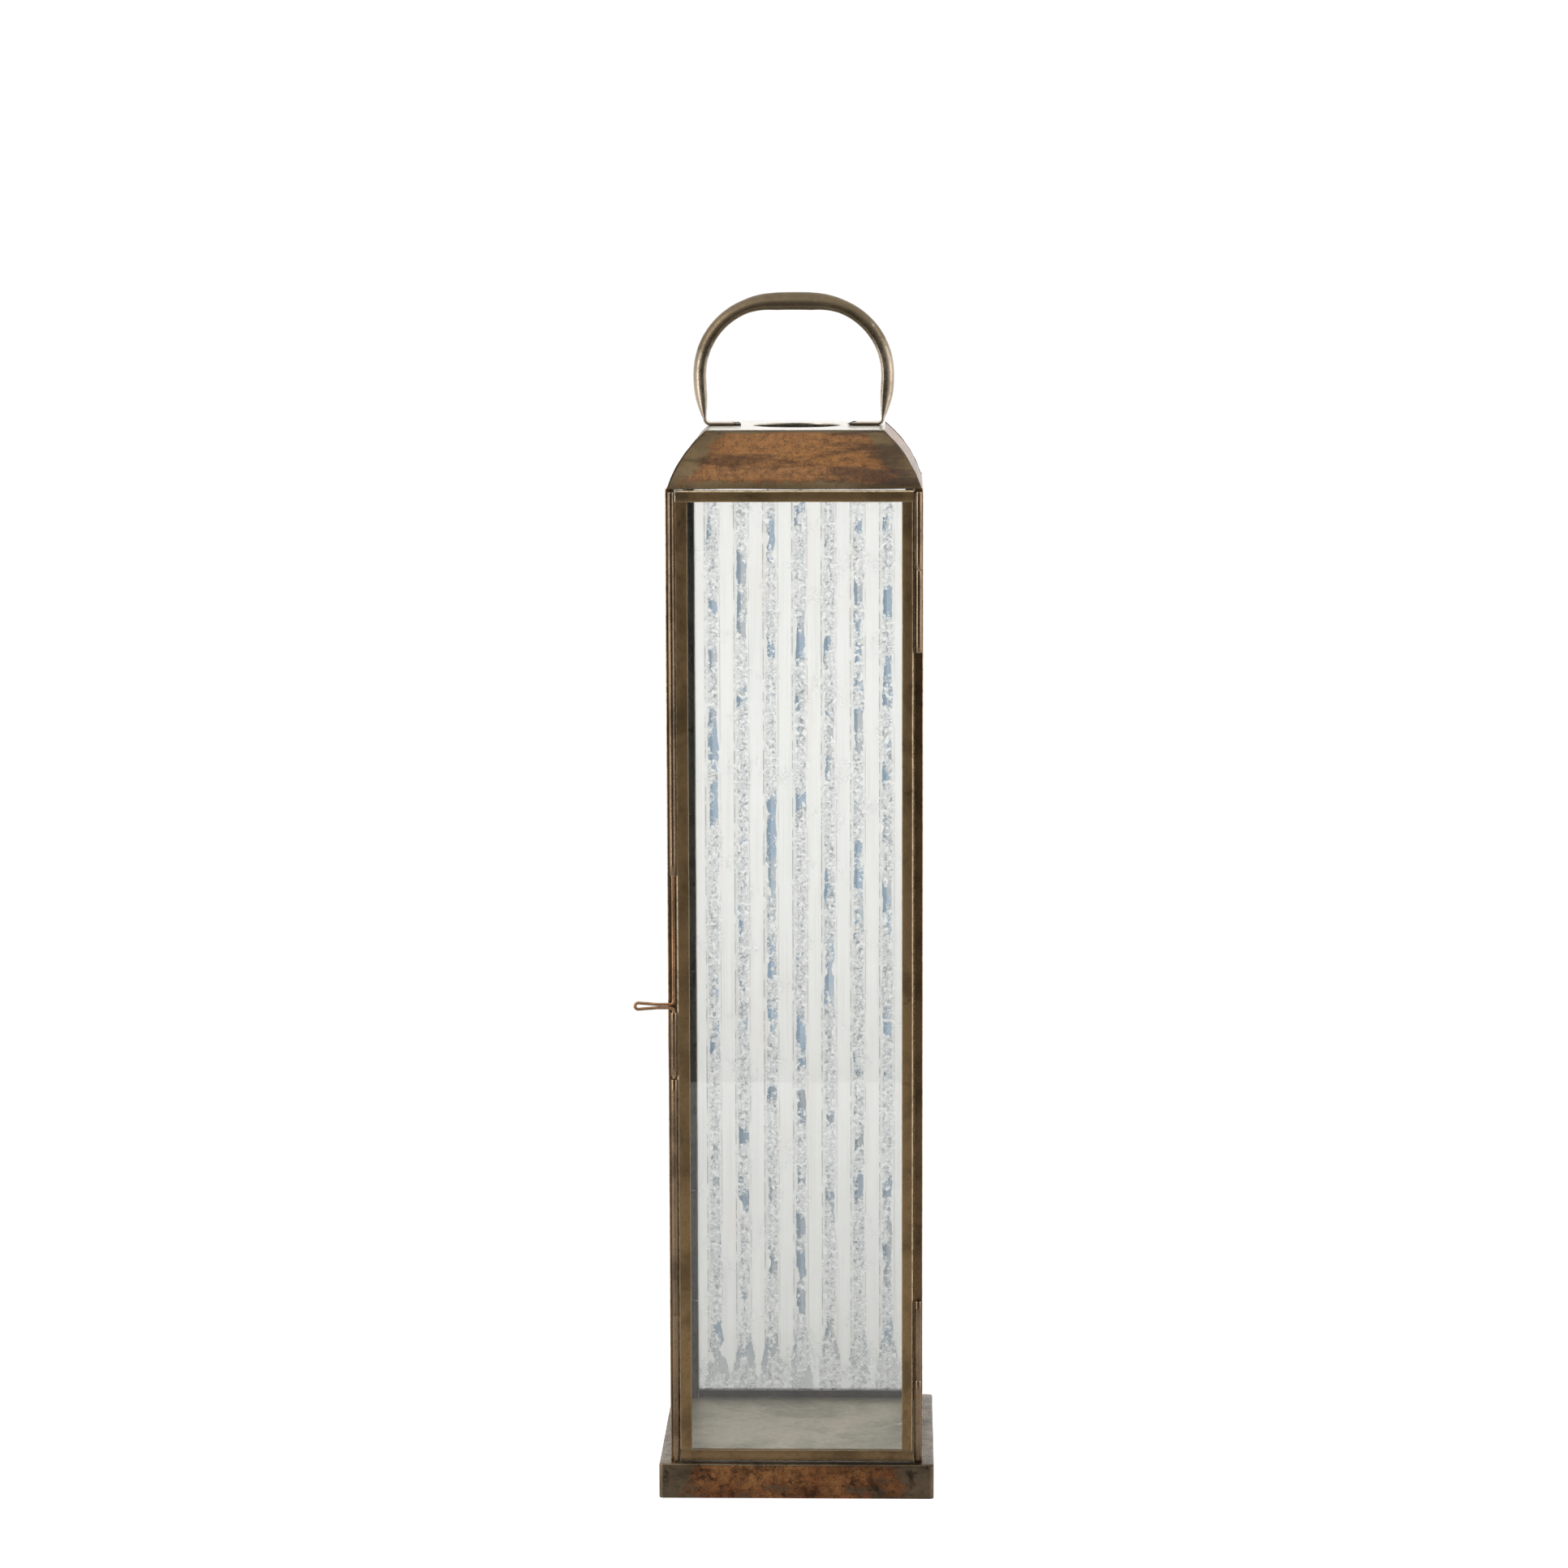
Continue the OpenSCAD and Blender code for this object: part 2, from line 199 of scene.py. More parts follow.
def line_at(tree, value, centre, core, edge, strength=1.0):
    """A line where a value passes its centre: full within the core and gone past the edge."""
    off = maths(tree, "ABSOLUTE", minus(tree, value, centre))
    return between(tree, off, core, edge, strength, 0.0)


def mix(tree, factor, a, b):
    made = add(tree, "ShaderNodeMix", data_type="RGBA", clamp_factor=True)
    for index, value in ((0, factor), (6, a), (7, b)):
        if isinstance(value, bpy.types.NodeSocket):
            tree.links.new(value, made.inputs[index])
        else:
            made.inputs[index].default_value = value
    return made.outputs[2]


def cloudy(tree, vector, scale, detail=4.0, rough=0.55, distortion=0.0):
    made = add(
        tree, "ShaderNodeTexNoise",
        {"Vector": vector, "Scale": scale, "Detail": detail, "Roughness": rough, "Distortion": distortion},
    )
    return made.outputs["Fac"]


def warped(tree, vector, scale, detail, amount):
    """A place moved about by a noise, so that what is drawn on it wanders."""
    bends = add(tree, "ShaderNodeTexNoise", {"Vector": vector, "Scale": scale, "Detail": detail})
    bent = add(tree, "ShaderNodeVectorMath", {0: bends.outputs["Color"], 3: amount}, operation="SCALE")
    return add(tree, "ShaderNodeVectorMath", {0: vector, 1: bent.outputs[0]}, operation="ADD").outputs[0]


def stretched(tree, vector, scale, offset=(0.0, 0.0, 0.0)):
    return add(tree, "ShaderNodeMapping", {"Vector": vector, "Scale": scale, "Location": offset}).outputs[0]


def new_group(name, inputs, outputs):
    """A shader node group with named sockets. Each is (name, type, default)."""
    tree = bpy.data.node_groups.new(name, "ShaderNodeTree")
    for label, kind, default in inputs:
        socket = tree.interface.new_socket(name=label, in_out="INPUT", socket_type=kind)
        if default is not None:
            socket.default_value = default
    for label, kind in outputs:
        tree.interface.new_socket(name=label, in_out="OUTPUT", socket_type=kind)
    return tree, tree.nodes.new("NodeGroupInput").outputs, tree.nodes.new("NodeGroupOutput").inputs


def new_material(name, **uniform):
    """A material with one Principled shader, and its uniform values."""
    material = bpy.data.materials.new(name)
    material.use_nodes = True
    tree = material.node_tree
    shader = tree.nodes["Principled BSDF"]
    for key, value in uniform.items():
        shader.inputs[key.replace("_", " ")].default_value = value
    return material, tree, shader


# ---------------------------------------------------------------- shared effects

def make_patina_group():
    """Antiqued brass: olive and brown bronze, copper bloom, dark cracks, rubbed edges that also carry a
    painted highlight, fine pits.
    """
    colour, number, vector = "NodeSocketColor", "NodeSocketFloat", "NodeSocketVector"
    tree, given, result = new_group(
        "antiqued_brass",
        [
            ("Place", vector, None),
            ("Bronze", colour, linear("#5f4e30")), ("Shade", colour, linear("#3a2f20")),
            ("Copper", colour, linear("#965a32")), ("Rubbed Highlight", colour, linear("#c8a866")),
            ("Ember", colour, linear("#8a4a28")), ("Copper Amount", number, 0.3),
            ("Middle Gain", number, 0.0), ("Shade Amount", number, 0.4),
            ("Crack Amount", number, 0.3), ("Band Amount", number, 0.0), ("Scuff Amount", number, 0.3),
            ("Wear", number, 0.0), ("Middle", number, 0.0), ("Gloss", number, 0.0),
        ],
        [("Color", colour), ("Roughness", number), ("Height", number)],
    )
    place = given["Place"]
    broad = cloudy(tree, place, 26.0, 5.0, 0.6, 0.3)
    patches = cloudy(tree, stretched(tree, place, (1, 1, 1.5), (3.1, 1.7, 0.6)), 34.0, 7.0, 0.66, 0.2)
    mottle = cloudy(tree, place, 260.0, 6.0, 0.68, 0.3)
    speck = cloudy(tree, place, 1100.0, 4.0, 0.8)
    fine = plus(tree, times(tree, mottle, 0.45), times(tree, speck, 0.55))

    clouded = times(tree, between(tree, broad, 0.42, 0.66), 0.6)
    base = mix(tree, clouded, given["Bronze"], given["Shade"])
    base = mix(tree, times(tree, between(tree, fine, 0.50, 0.66), 0.45), base, given["Shade"])

    # On the handle, whose bloom colours are darker, this bloom is painted shade on the top of the arch.
    amount = maths(tree, "MULTIPLY_ADD", given["Middle"], given["Middle Gain"], given["Copper Amount"])
    limit = minus(tree, 0.78, times(tree, amount, 0.5))
    ragged = plus(tree, patches, times(tree, minus(tree, mottle, 0.5), 0.30))
    bloom = between(tree, minus(tree, ragged, limit), -0.03, 0.14)
    depth = between(tree, minus(tree, ragged, limit), 0.06, 0.20)
    glow = times(tree, depth, between(tree, broad, 0.36, 0.62, 1.0, 0.35))
    copper = mix(tree, glow, given["Ember"], given["Copper"])
    copper = mix(tree, times(tree, between(tree, fine, 0.44, 0.60), 0.62), copper, given["Shade"])
    base = mix(tree, times(tree, bloom, 0.95), base, copper)

    wandering = warped(tree, place, 240.0, 4.0, 0.006)
    web = add(
        tree, "ShaderNodeTexVoronoi", {"Vector": wandering, "Scale": 190.0}, feature="DISTANCE_TO_EDGE",
    )
    cracks = between(tree, web.outputs["Distance"], 0.0, 0.10, 1.0, 0.0)
    crack_zone = between(tree, cloudy(tree, place, 60.0, 5.0, 0.7), 0.50, 0.60)
    crack = times(tree, times(tree, cracks, crack_zone), given["Crack Amount"])
    base = mix(tree, crack, base, given["Shade"])

    dark_limit = minus(tree, 0.80, times(tree, given["Shade Amount"], 0.4))
    blots = cloudy(tree, stretched(tree, place, (1, 1, 1), (0.3, 5.2, 2.2)), 80.0, 8.0, 0.72, 0.6)
    dark = between(tree, minus(tree, blots, dark_limit), 0.0, 0.12)
    base = mix(tree, times(tree, dark, 0.7), base, given["Shade"])
    bands = cloudy(tree, stretched(tree, place, (9.0, 9.0, 60.0), (0.2, 0.9, 0.35)), 1.6, 7.0, 0.68)
    band = times(tree, between(tree, bands, 0.47, 0.60), given["Band Amount"])
    base = mix(tree, band, base, given["Shade"])

    strokes = cloudy(tree, stretched(tree, place, (70.0, 70.0, 900.0), (0.1, 0.4, 0.2)), 1.0, 2.0)
    scuffs = times(tree, between(tree, strokes, 0.68, 0.74), between(tree, broad, 0.52, 0.60))
    scuffs = times(tree, scuffs, given["Scuff Amount"])
    # The rubbed colour on marked edges is worn metal and also a painted highlight along them; the scuffs are
    # wear only.
    rub_and_highlight = times(tree, given["Wear"], between(tree, mottle, 0.30, 0.62, 0.25, 1.0))
    rub_and_highlight = maths(tree, "MAXIMUM", rub_and_highlight, scuffs, clamp=True)
    tree.links.new(mix(tree, rub_and_highlight, base, given["Rubbed Highlight"]), result["Color"])
    rough = between(tree, fine, 0.38, 0.62, 0.30, 0.50)
    rough = minus(tree, maths(tree, "MULTIPLY_ADD", bloom, 0.08, rough), given["Gloss"])
    tree.links.new(minus(tree, rough, times(tree, rub_and_highlight, 0.08)), result["Roughness"])
    height = minus(tree, fine, times(tree, crack, 0.5))
    tree.links.new(height, result["Height"])
    return tree


PATINA = make_patina_group()


def brass(
    name, bronze, shade, copper, rubbed, ember="#8a4a28",
    metallic=0.9, bump=0.10, coat=0.0, **amounts
):
    """One antiqued brass finish, with its own colours and amounts."""
    material, tree, shader = new_material(name, Metallic=metallic, Coat_Weight=coat, Coat_Roughness=0.14)
    patina = add(tree, "ShaderNodeGroup", node_tree=PATINA)
    # The rubbed colour also paints the highlight along worn edges.
    colours = {"Bronze": bronze, "Shade": shade, "Copper": copper, "Rubbed Highlight": rubbed, "Ember": ember}
    for key, value in colours.items():
        patina.inputs[key].default_value = linear(value)
    for key, value in amounts.items():
        patina.inputs[key.replace("_", " ")].default_value = value
    tree.links.new(add(tree, "ShaderNodeTexCoord").outputs["Object"], patina.inputs["Place"])
    for layer in ("wear", "middle"):
        read = add(tree, "ShaderNodeAttribute", attribute_name=layer)
        tree.links.new(read.outputs["Fac"], patina.inputs[layer.capitalize()])
    tree.links.new(patina.outputs["Color"], shader.inputs["Base Color"])
    tree.links.new(patina.outputs["Roughness"], shader.inputs["Roughness"])
    grain = {"Height": patina.outputs["Height"], "Strength": bump, "Distance": 0.001}
    raised = add(tree, "ShaderNodeBump", grain)
    tree.links.new(raised.outputs["Normal"], shader.inputs["Normal"])
    return material


pan_brass = brass(
    "pan_brass", "#6c5e4a", "#281f18", "#ae7a4c", "#94806a", "#8a5634",
    Copper_Amount=0.24, Middle_Gain=0.68, Shade_Amount=0.7, Crack_Amount=0.9, Band_Amount=0.35,
    Scuff_Amount=0.2,
)
floor_brass = brass(
    "floor_brass", "#aaa08a", "#6e6652", "#a08e74", "#dcd8cc",
    Copper_Amount=0.1, Shade_Amount=0.3, Crack_Amount=0.0, Scuff_Amount=0.8, metallic=0.6,
    bump=0.25,
)
roof_brass = brass(
    "roof_brass", "#6c5a3e", "#38281e", "#986a3e", "#c0a880", "#80542f",
    Copper_Amount=0.24, Middle_Gain=1.0, Shade_Amount=0.45, Crack_Amount=0.12, Band_Amount=0.65,
    Scuff_Amount=0.08, coat=0.2,
)
plate_brass = brass(
    "plate_brass", "#a49a88", "#847a6c", "#94785c", "#e0d8c8",
    Copper_Amount=0.1, Shade_Amount=0.3, Crack_Amount=0.0, coat=0.5,
)
frame_brass = brass(
    "frame_brass", "#6c563c", "#30261c", "#84583a", "#bca080",
    Copper_Amount=0.32, Shade_Amount=0.45, Crack_Amount=0.1, Gloss=0.06,
)
tube_brass = brass(
    "tube_brass", "#8a745c", "#3a2e24", "#94705a", "#c8b09a", "#7c5a44",
    Copper_Amount=0.3, Shade_Amount=0.4, Crack_Amount=0.1, metallic=1.0, Gloss=0.16,
)
# Dark brass for the back stiles: its dark tone is painted shade in the inner corners, over speckled tarnish.
shaded_stile_brass = brass(
    "shaded_stile_brass", "#504c44", "#1c1814", "#5a5448", "#c8c4bc", "#4c4438",
    Copper_Amount=0.2, Shade_Amount=0.6, Crack_Amount=0.2, Scuff_Amount=0.8, bump=0.3,
)
# Darker brass for surfaces inside the lantern and under its roof: its dark tone is painted shade, over real
# speckled tarnish.
shaded_inner_brass = brass(
    "shaded_inner_brass", "#565048", "#1c1814", "#4c4034", "#b0aca0", "#4a3828",
    Copper_Amount=0.15, Shade_Amount=0.6, Crack_Amount=0.3, Scuff_Amount=0.8,
)
door_brass = brass(
    "door_brass", "#8c7250", "#4e3e2a", "#8e6640", "#d0bc98", "#7c5434",
    Copper_Amount=0.28, Shade_Amount=0.5, Crack_Amount=0.0, Scuff_Amount=0.3,
)
# The handle's darker copper and ember colours bloom over the top of the arch: painted shade there.
handle_brass = brass(
    "handle_brass", "#a49684", "#685c4c", "#786850", "#ece2d2", "#5e5240",
    Copper_Amount=0.1, Middle_Gain=1.1, Shade_Amount=0.3, Crack_Amount=0.0, Scuff_Amount=0.6,
    bump=0.04, metallic=1.0, Gloss=0.06,
)
wire_brass = brass(
    "wire_brass", "#a88462", "#4c3a2e", "#cc9478", "#e0bca0", "#a87454",
    Copper_Amount=0.45, Shade_Amount=0.2, Crack_Amount=0.0, metallic=1.0, Gloss=0.1,
)
solder_metal = brass(
    "solder_metal", "#6e5e48", "#3c3228", "#9a6438", "#c0b090",
    Copper_Amount=0.3, Shade_Amount=0.4, Crack_Amount=0.1, bump=0.3,
)
seam_metal = brass(
    "seam_metal", "#4e4230", "#221c18", "#5e4228", "#8a744c",
    Copper_Amount=0.2, Shade_Amount=0.5, Crack_Amount=0.0,
)


# ---------------------------------------------------------------- glass

RIB_PITCH = 18.6 * MM
RIB_RISE = 0.9 * MM
VALLEY_HALF = 1.1 * MM


def blobs_of(tree, place, scale, smallest, largest):
    """Round drops of mixed size: a mask of the drops, and one of the dark line round each, which is a painted
    shadow at the drop's edge.
    """
    found = add(tree, "ShaderNodeTexVoronoi", {"Vector": place, "Scale": scale}, feature="F1")
    chance = add(tree, "ShaderNodeSeparateXYZ", {0: found.outputs["Color"]}).outputs[0]
    radius = between(tree, chance, 0.0, 1.0, smallest, largest)
    inside = minus(tree, radius, found.outputs["Distance"])
    return between(tree, inside, 0.0, 0.05), line_at(tree, inside, 0.0, 0.0, 0.07)


def make_silvering_group():
    """Old silvering on ribbed glass: milky ribs with a greyer band of painted shade on each left slope, and
    blue-grey valleys half filled with white foam, their blue a painted reflection in the bare glass and the
    foam's dark rims painted shadow.
    Across counts the ribs from a valley, and Up is the height in metres."""
    colour, number = "NodeSocketColor", "NodeSocketFloat"
    tree, given, result = new_group(
        "old_silvering",
        [
            ("Across", number, 0.0), ("Up", number, 0.0), ("Pitch", number, RIB_PITCH),
            ("Milk", colour, linear("#f6f5f2")), ("Streak", colour, linear("#e6e6e2")),
            ("Blue", colour, linear("#a9b8c6")), ("Lilac", colour, linear("#c2c4c6")),
            ("Foam", colour, linear("#fafaf8")), ("Dark", colour, linear("#7c7d7e")),
            ("Blue Shade", colour, linear("#8799a8")),
        ],
        [("Color", colour), ("Roughness", number), ("Height", number)],
    )
    along = add(
        tree, "ShaderNodeCombineXYZ",
        {0: times(tree, given["Across"], given["Pitch"]), 1: given["Up"]},
    ).outputs[0]
    off_valley = maths(tree, "PINGPONG", given["Across"], 0.5)
    signed = minus(tree, maths(tree, "FRACT", plus(tree, given["Across"], 0.5)), 0.5)
    near_foot = between(tree, given["Up"], 0.004, 0.050, 1.0, 0.0)

    lobes = cloudy(tree, along, 150.0, 5.0, 0.6)
    flow = cloudy(tree, stretched(tree, along, (1.0, 0.35, 1.0), (0.31, 0.17, 0.0)), 90.0, 3.0)
    froth_edge = maths(tree, "MULTIPLY_ADD", cloudy(tree, along, 480.0, 4.0, 0.7), 0.36, -0.18)
    half_width = maths(tree, "MULTIPLY_ADD", near_foot, 0.33, 0.14)
    wobble = maths(tree, "MULTIPLY_ADD", lobes, 0.12, times(tree, flow, 0.26))
    covered = cloudy(tree, stretched(tree, along, (1.0, 0.7, 1.0), (0.05, 0.71, 0.0)), 58.0, 3.0)
    wobble = plus(tree, wobble, between(tree, covered, 0.56, 0.66, 0.0, 0.12))
    tears = times(tree, near_foot, maths(tree, "MULTIPLY_ADD", covered, 0.5, -0.20))
    wobble = plus(tree, wobble, plus(tree, tears, times(tree, near_foot, froth_edge)))
    rib_in = minus(tree, plus(tree, off_valley, wobble), plus(tree, half_width, 0.20))
    milky = between(tree, rib_in, -0.012, 0.02)

    streaks = cloudy(tree, stretched(tree, along, (1500.0, 9.0, 1.0)), 1.0, 3.0)
    milk = mix(tree, between(tree, streaks, 0.45, 0.75), given["Milk"], given["Streak"])
    # A greyer band on the left slope of each rib: painted shade.
    milk = mix(tree, line_at(tree, signed, -0.19, 0.04, 0.09, 0.55), milk, given["Streak"])
    tint = cloudy(tree, stretched(tree, along, (1.0, 0.2, 1.0), (0.9, 0.4, 0.0)), 70.0, 2.0)
    milk = mix(tree, times(tree, between(tree, tint, 0.54, 0.75), 0.4), milk, linear("#f2e8e2"))
    dashes = between(tree, cloudy(tree, stretched(tree, along, (60.0, 90.0, 1.0)), 1.0, 5.0, 0.8), 0.42, 0.54)
    left_line = times(tree, line_at(tree, signed, -0.27, 0.008, 0.022, 0.75), dashes)
    right_line = times(tree, line_at(tree, signed, 0.14, 0.003, 0.010, 0.4), minus(tree, 1.0, dashes))
    faint = times(tree, line_at(tree, signed, 0.24, 0.006, 0.020, 0.45), between(tree, flow, 0.40, 0.55))
    milk = mix(tree, most(tree, most(tree, left_line, right_line), faint), milk, given["Dark"])

    patch = cloudy(tree, stretched(tree, along, (1.0, 0.5, 1.0), (0.2, 0.6, 0.0)), 34.0, 3.0)
    # The valleys' blue is a painted reflection in the bare glass; its darker left side below is painted
    # shade.
    valley = mix(tree, between(tree, patch, 0.46, 0.60), given["Blue"], given["Lilac"])
    valley = mix(tree, times(tree, near_foot, 0.9), valley, given["Lilac"])
    above_foot = minus(tree, 1.0, times(tree, near_foot, 0.8))
    left_shade = between(tree, plus(tree, signed, times(tree, lobes, 0.04)), -0.07, 0.03, 0.85, 0.0)
    left_shade = times(tree, left_shade, above_foot)
    valley = mix(tree, left_shade, valley, given["Blue Shade"])
    valley = mix(tree, times(tree, near_foot, 0.55), valley, given["Streak"])
    crest = between(tree, minus(tree, 0.5, off_valley), 0.006, 0.020, 1.0, 0.0)
    valley = mix(tree, times(tree, crest, 0.7), valley, given["Foam"])
    skin = mix(tree, milky, valley, milk)

    kneaded = warped(tree, along, 420.0, 3.0, 0.0016)
    foam_place = cloudy(tree, stretched(tree, along, (1.0, 0.7, 1.0), (0.7, 0.3, 0.0)), 52.0, 4.0)
    reach = times(tree, between(tree, off_valley, 0.12, 0.34, 0.0, 0.18), above_foot)
    foamy = between(tree, minus(tree, foam_place, reach), 0.42, 0.48)
    froth = cloudy(tree, along, 560.0, 4.0, 0.7)
    curl = line_at(tree, froth, 0.5, 0.004, 0.030, 0.85)
    hollow = between(tree, cloudy(tree, kneaded, 420.0, 4.0, 0.6), 0.52, 0.62, 0.0, 0.75)
    speckle = most(tree, curl, hollow)
    ground = mix(tree, speckle, given["Foam"], given["Dark"])
    soft = between(tree, plus(tree, off_valley, times(tree, lobes, 0.1)), 0.17, 0.30, 1.0, 0.0)
    soft = most(tree, soft, times(tree, near_foot, 0.75))
    skin = mix(tree, times(tree, times(tree, foamy, soft), 0.9), skin, ground)

    lumps = cloudy(tree, stretched(tree, along, (1.0, 1.0, 1.0), (0.37, 0.52, 0.0)), 380.0, 2.2, 0.55)
    drops = between(tree, lumps, 0.53, 0.57)
    # Dark rings round the foam drops: painted shadow at their edges.
    rings = line_at(tree, lumps, 0.525, 0.0, 0.03)
    apart = stretched(tree, kneaded, (1.0, 1.0, 1.0), (0.4, 0.2, 0.0))
    beads, bead_shadow_rings = blobs_of(tree, apart, 520.0, -0.1, 0.36)
    wide_foam = between(tree, minus(tree, foam_place, reach), 0.38, 0.44)
    drop_mask = times(tree, drops, wide_foam)
    drop_shadow_mask = times(tree, times(tree, rings, wide_foam), 0.42)
    bead_zone = between(tree, off_valley, 0.15, 0.26, 1.0, 0.0)
    bead_zone = times(tree, bead_zone, between(tree, flow, 0.45, 0.6))
    bead_zone = most(tree, bead_zone, times(tree, near_foot, 0.9))
    # Dark rings round the beads: painted shadow at their edges.
    skin = mix(tree, times(tree, times(tree, bead_shadow_rings, bead_zone), 0.22), skin, given["Dark"])
    skin = mix(tree, times(tree, times(tree, beads, bead_zone), 0.85), skin, given["Foam"])
    skin = mix(tree, drop_shadow_mask, skin, given["Dark"])
    skin = mix(tree, times(tree, drop_mask, 0.92), skin, given["Foam"])
    tree.links.new(skin, result["Color"])

    cover = most(tree, most(tree, milky, drop_mask), times(tree, foamy, soft))
    tree.links.new(between(tree, cover, 0.0, 1.0, 0.16, 0.62), result["Roughness"])
    height = maths(tree, "MULTIPLY_ADD", drop_mask, 0.6, times(tree, milky, 0.35))
    height = minus(tree, height, times(tree, times(tree, speckle, foamy), 0.4))
    tree.links.new(height, result["Height"])
    return tree


def make_silvered_glass():
    """The ribbed walls. The UV map holds the rib count across and the height in metres."""
    material, tree, shader = new_material(
        "silvered_glass", Metallic=0.0, Transmission_Weight=0.8, IOR=1.3,
        Coat_Weight=0.5, Coat_Roughness=0.05,
    )
    uv = add(tree, "ShaderNodeUVMap", uv_map="ribs").outputs[0]
    parts = add(tree, "ShaderNodeSeparateXYZ", {0: uv})
    skin = add(tree, "ShaderNodeGroup", node_tree=make_silvering_group())
    tree.links.new(parts.outputs[0], skin.inputs["Across"])
    tree.links.new(parts.outputs[1], skin.inputs["Up"])
    tree.links.new(skin.outputs["Color"], shader.inputs["Base Color"])
    tree.links.new(skin.outputs["Roughness"], shader.inputs["Roughness"])
    grain = {"Height": skin.outputs["Height"], "Strength": 0.3, "Distance": 0.0006}
    raised = add(tree, "ShaderNodeBump", grain)
    tree.links.new(raised.outputs["Normal"], shader.inputs["Normal"])
    return material


def make_clear_glass():
    """Clear sheet glass that lets the light through to the inside, with faint streaks in its polish."""
    material, tree, shader = new_material("clear_glass", Transmission_Weight=1.0, IOR=1.45)
    shader.inputs["Base Color"].default_value = (0.97, 0.985, 0.98, 1.0)
    place = add(tree, "ShaderNodeTexCoord").outputs["Object"]
    streaks = cloudy(tree, stretched(tree, place, (30.0, 30.0, 4.0)), 1.0, 4.0)
    tree.links.new(between(tree, streaks, 0.4, 0.8, 0.0, 0.03), shader.inputs["Roughness"])
    clear = add(tree, "ShaderNodeBsdfTransparent", {"Color": (0.96, 0.98, 0.97, 1.0)})
    path = add(tree, "ShaderNodeLightPath")
    joined = add(
        tree, "ShaderNodeMixShader",
        {0: path.outputs["Is Shadow Ray"], 1: shader.outputs[0], 2: clear.outputs[0]},
    )
    tree.links.new(joined.outputs[0], tree.nodes["Material Output"].inputs["Surface"])
    return material


silvered_glass = make_silvered_glass()
clear_glass = make_clear_glass()


# ---------------------------------------------------------------- sizes taken from the frame

pan_lo, pan_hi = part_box("base_pan")
plate_lo, plate_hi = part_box("top_plate")
roof_lo, roof_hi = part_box("roof_front")
SHEET = plate_hi.z - plate_lo.z
WALL_MIDDLE = 75.3 * MM
EAVE = (roof_hi.x - roof_lo.x) / 2
CROWN = (plate_hi.x - plate_lo.x) / 2
X, Y, Z = Vector((1, 0, 0)), Vector((0, 1, 0)), Vector((0, 0, 1))


# ---------------------------------------------------------------- base pan

def base_pan():
    """The folded pan: rounded upright corners, a softly folded top edge, open underneath."""
    corner_r, fold_r, bloom_in = 2.5 * MM, 1.1 * MM, 45 * MM
    bm = bmesh.new()
    wear_and_highlight_layer(bm)
    size = pan_hi - pan_lo
    place = Matrix.Translation((pan_lo + pan_hi) / 2) @ Matrix.Diagonal((*size, 1))
    bmesh.ops.create_cube(bm, size=1.0, matrix=place)
    under = [f for f in bm.faces if f.normal.z < -0.5]
    bmesh.ops.delete(bm, geom=under, context="FACES_ONLY")
    upright = [e for e in bm.edges if abs(e.verts[0].co.z - e.verts[1].co.z) > size.z / 2]
    # The rounded corners and the top fold are marked rubbed bright: worn metal, and a painted highlight along
    # them.
    soften(bm, upright, corner_r, 4, 0.35)
    top = [e for e in bm.edges if all(v.co.z > pan_hi.z - MM for v in e.verts)]
    soften(bm, top, fold_r, 3, 0.05)
    flat = [e for e in bm.edges if e.calc_length() > 60 * MM]
    bmesh.ops.subdivide_edges(bm, edges=flat, cuts=24, use_grid_fill=True)
    for side in (-1, 1):
        for way in (X, Y):
            bmesh.ops.bisect_plane(
                bm, geom=bm.verts[:] + bm.edges[:] + bm.faces[:], dist=1e-6,
                plane_co=way * side * WALL_MIDDLE, plane_no=way,
            )
    for face in bm.faces:
        middle = face.calc_center_median()
        inside = max(abs(middle.x), abs(middle.y)) < WALL_MIDDLE
        face.material_index = 1 if inside and middle.z > pan_hi.z - MM else 0

    def far_from_ends(co):
        on_skirt = co.z < pan_hi.z - MM
        return (pan_hi.x - min(abs(co.x), abs(co.y))) / bloom_in if on_skirt else 0.0

    mark_middle(bm, far_from_ends)
    hand_worked(bm, 0.22 * MM, 26.0, [v for v in bm.verts if v.co.z > MM])
    bmesh.ops.solidify(bm, geom=bm.faces[:], thickness=SHEET)
    piece = finish_piece("pan", bm, pan_brass, "lantern", ["base_pan"])
    piece.data.materials.append(floor_brass)
    return piece


# ---------------------------------------------------------------- glazing channels

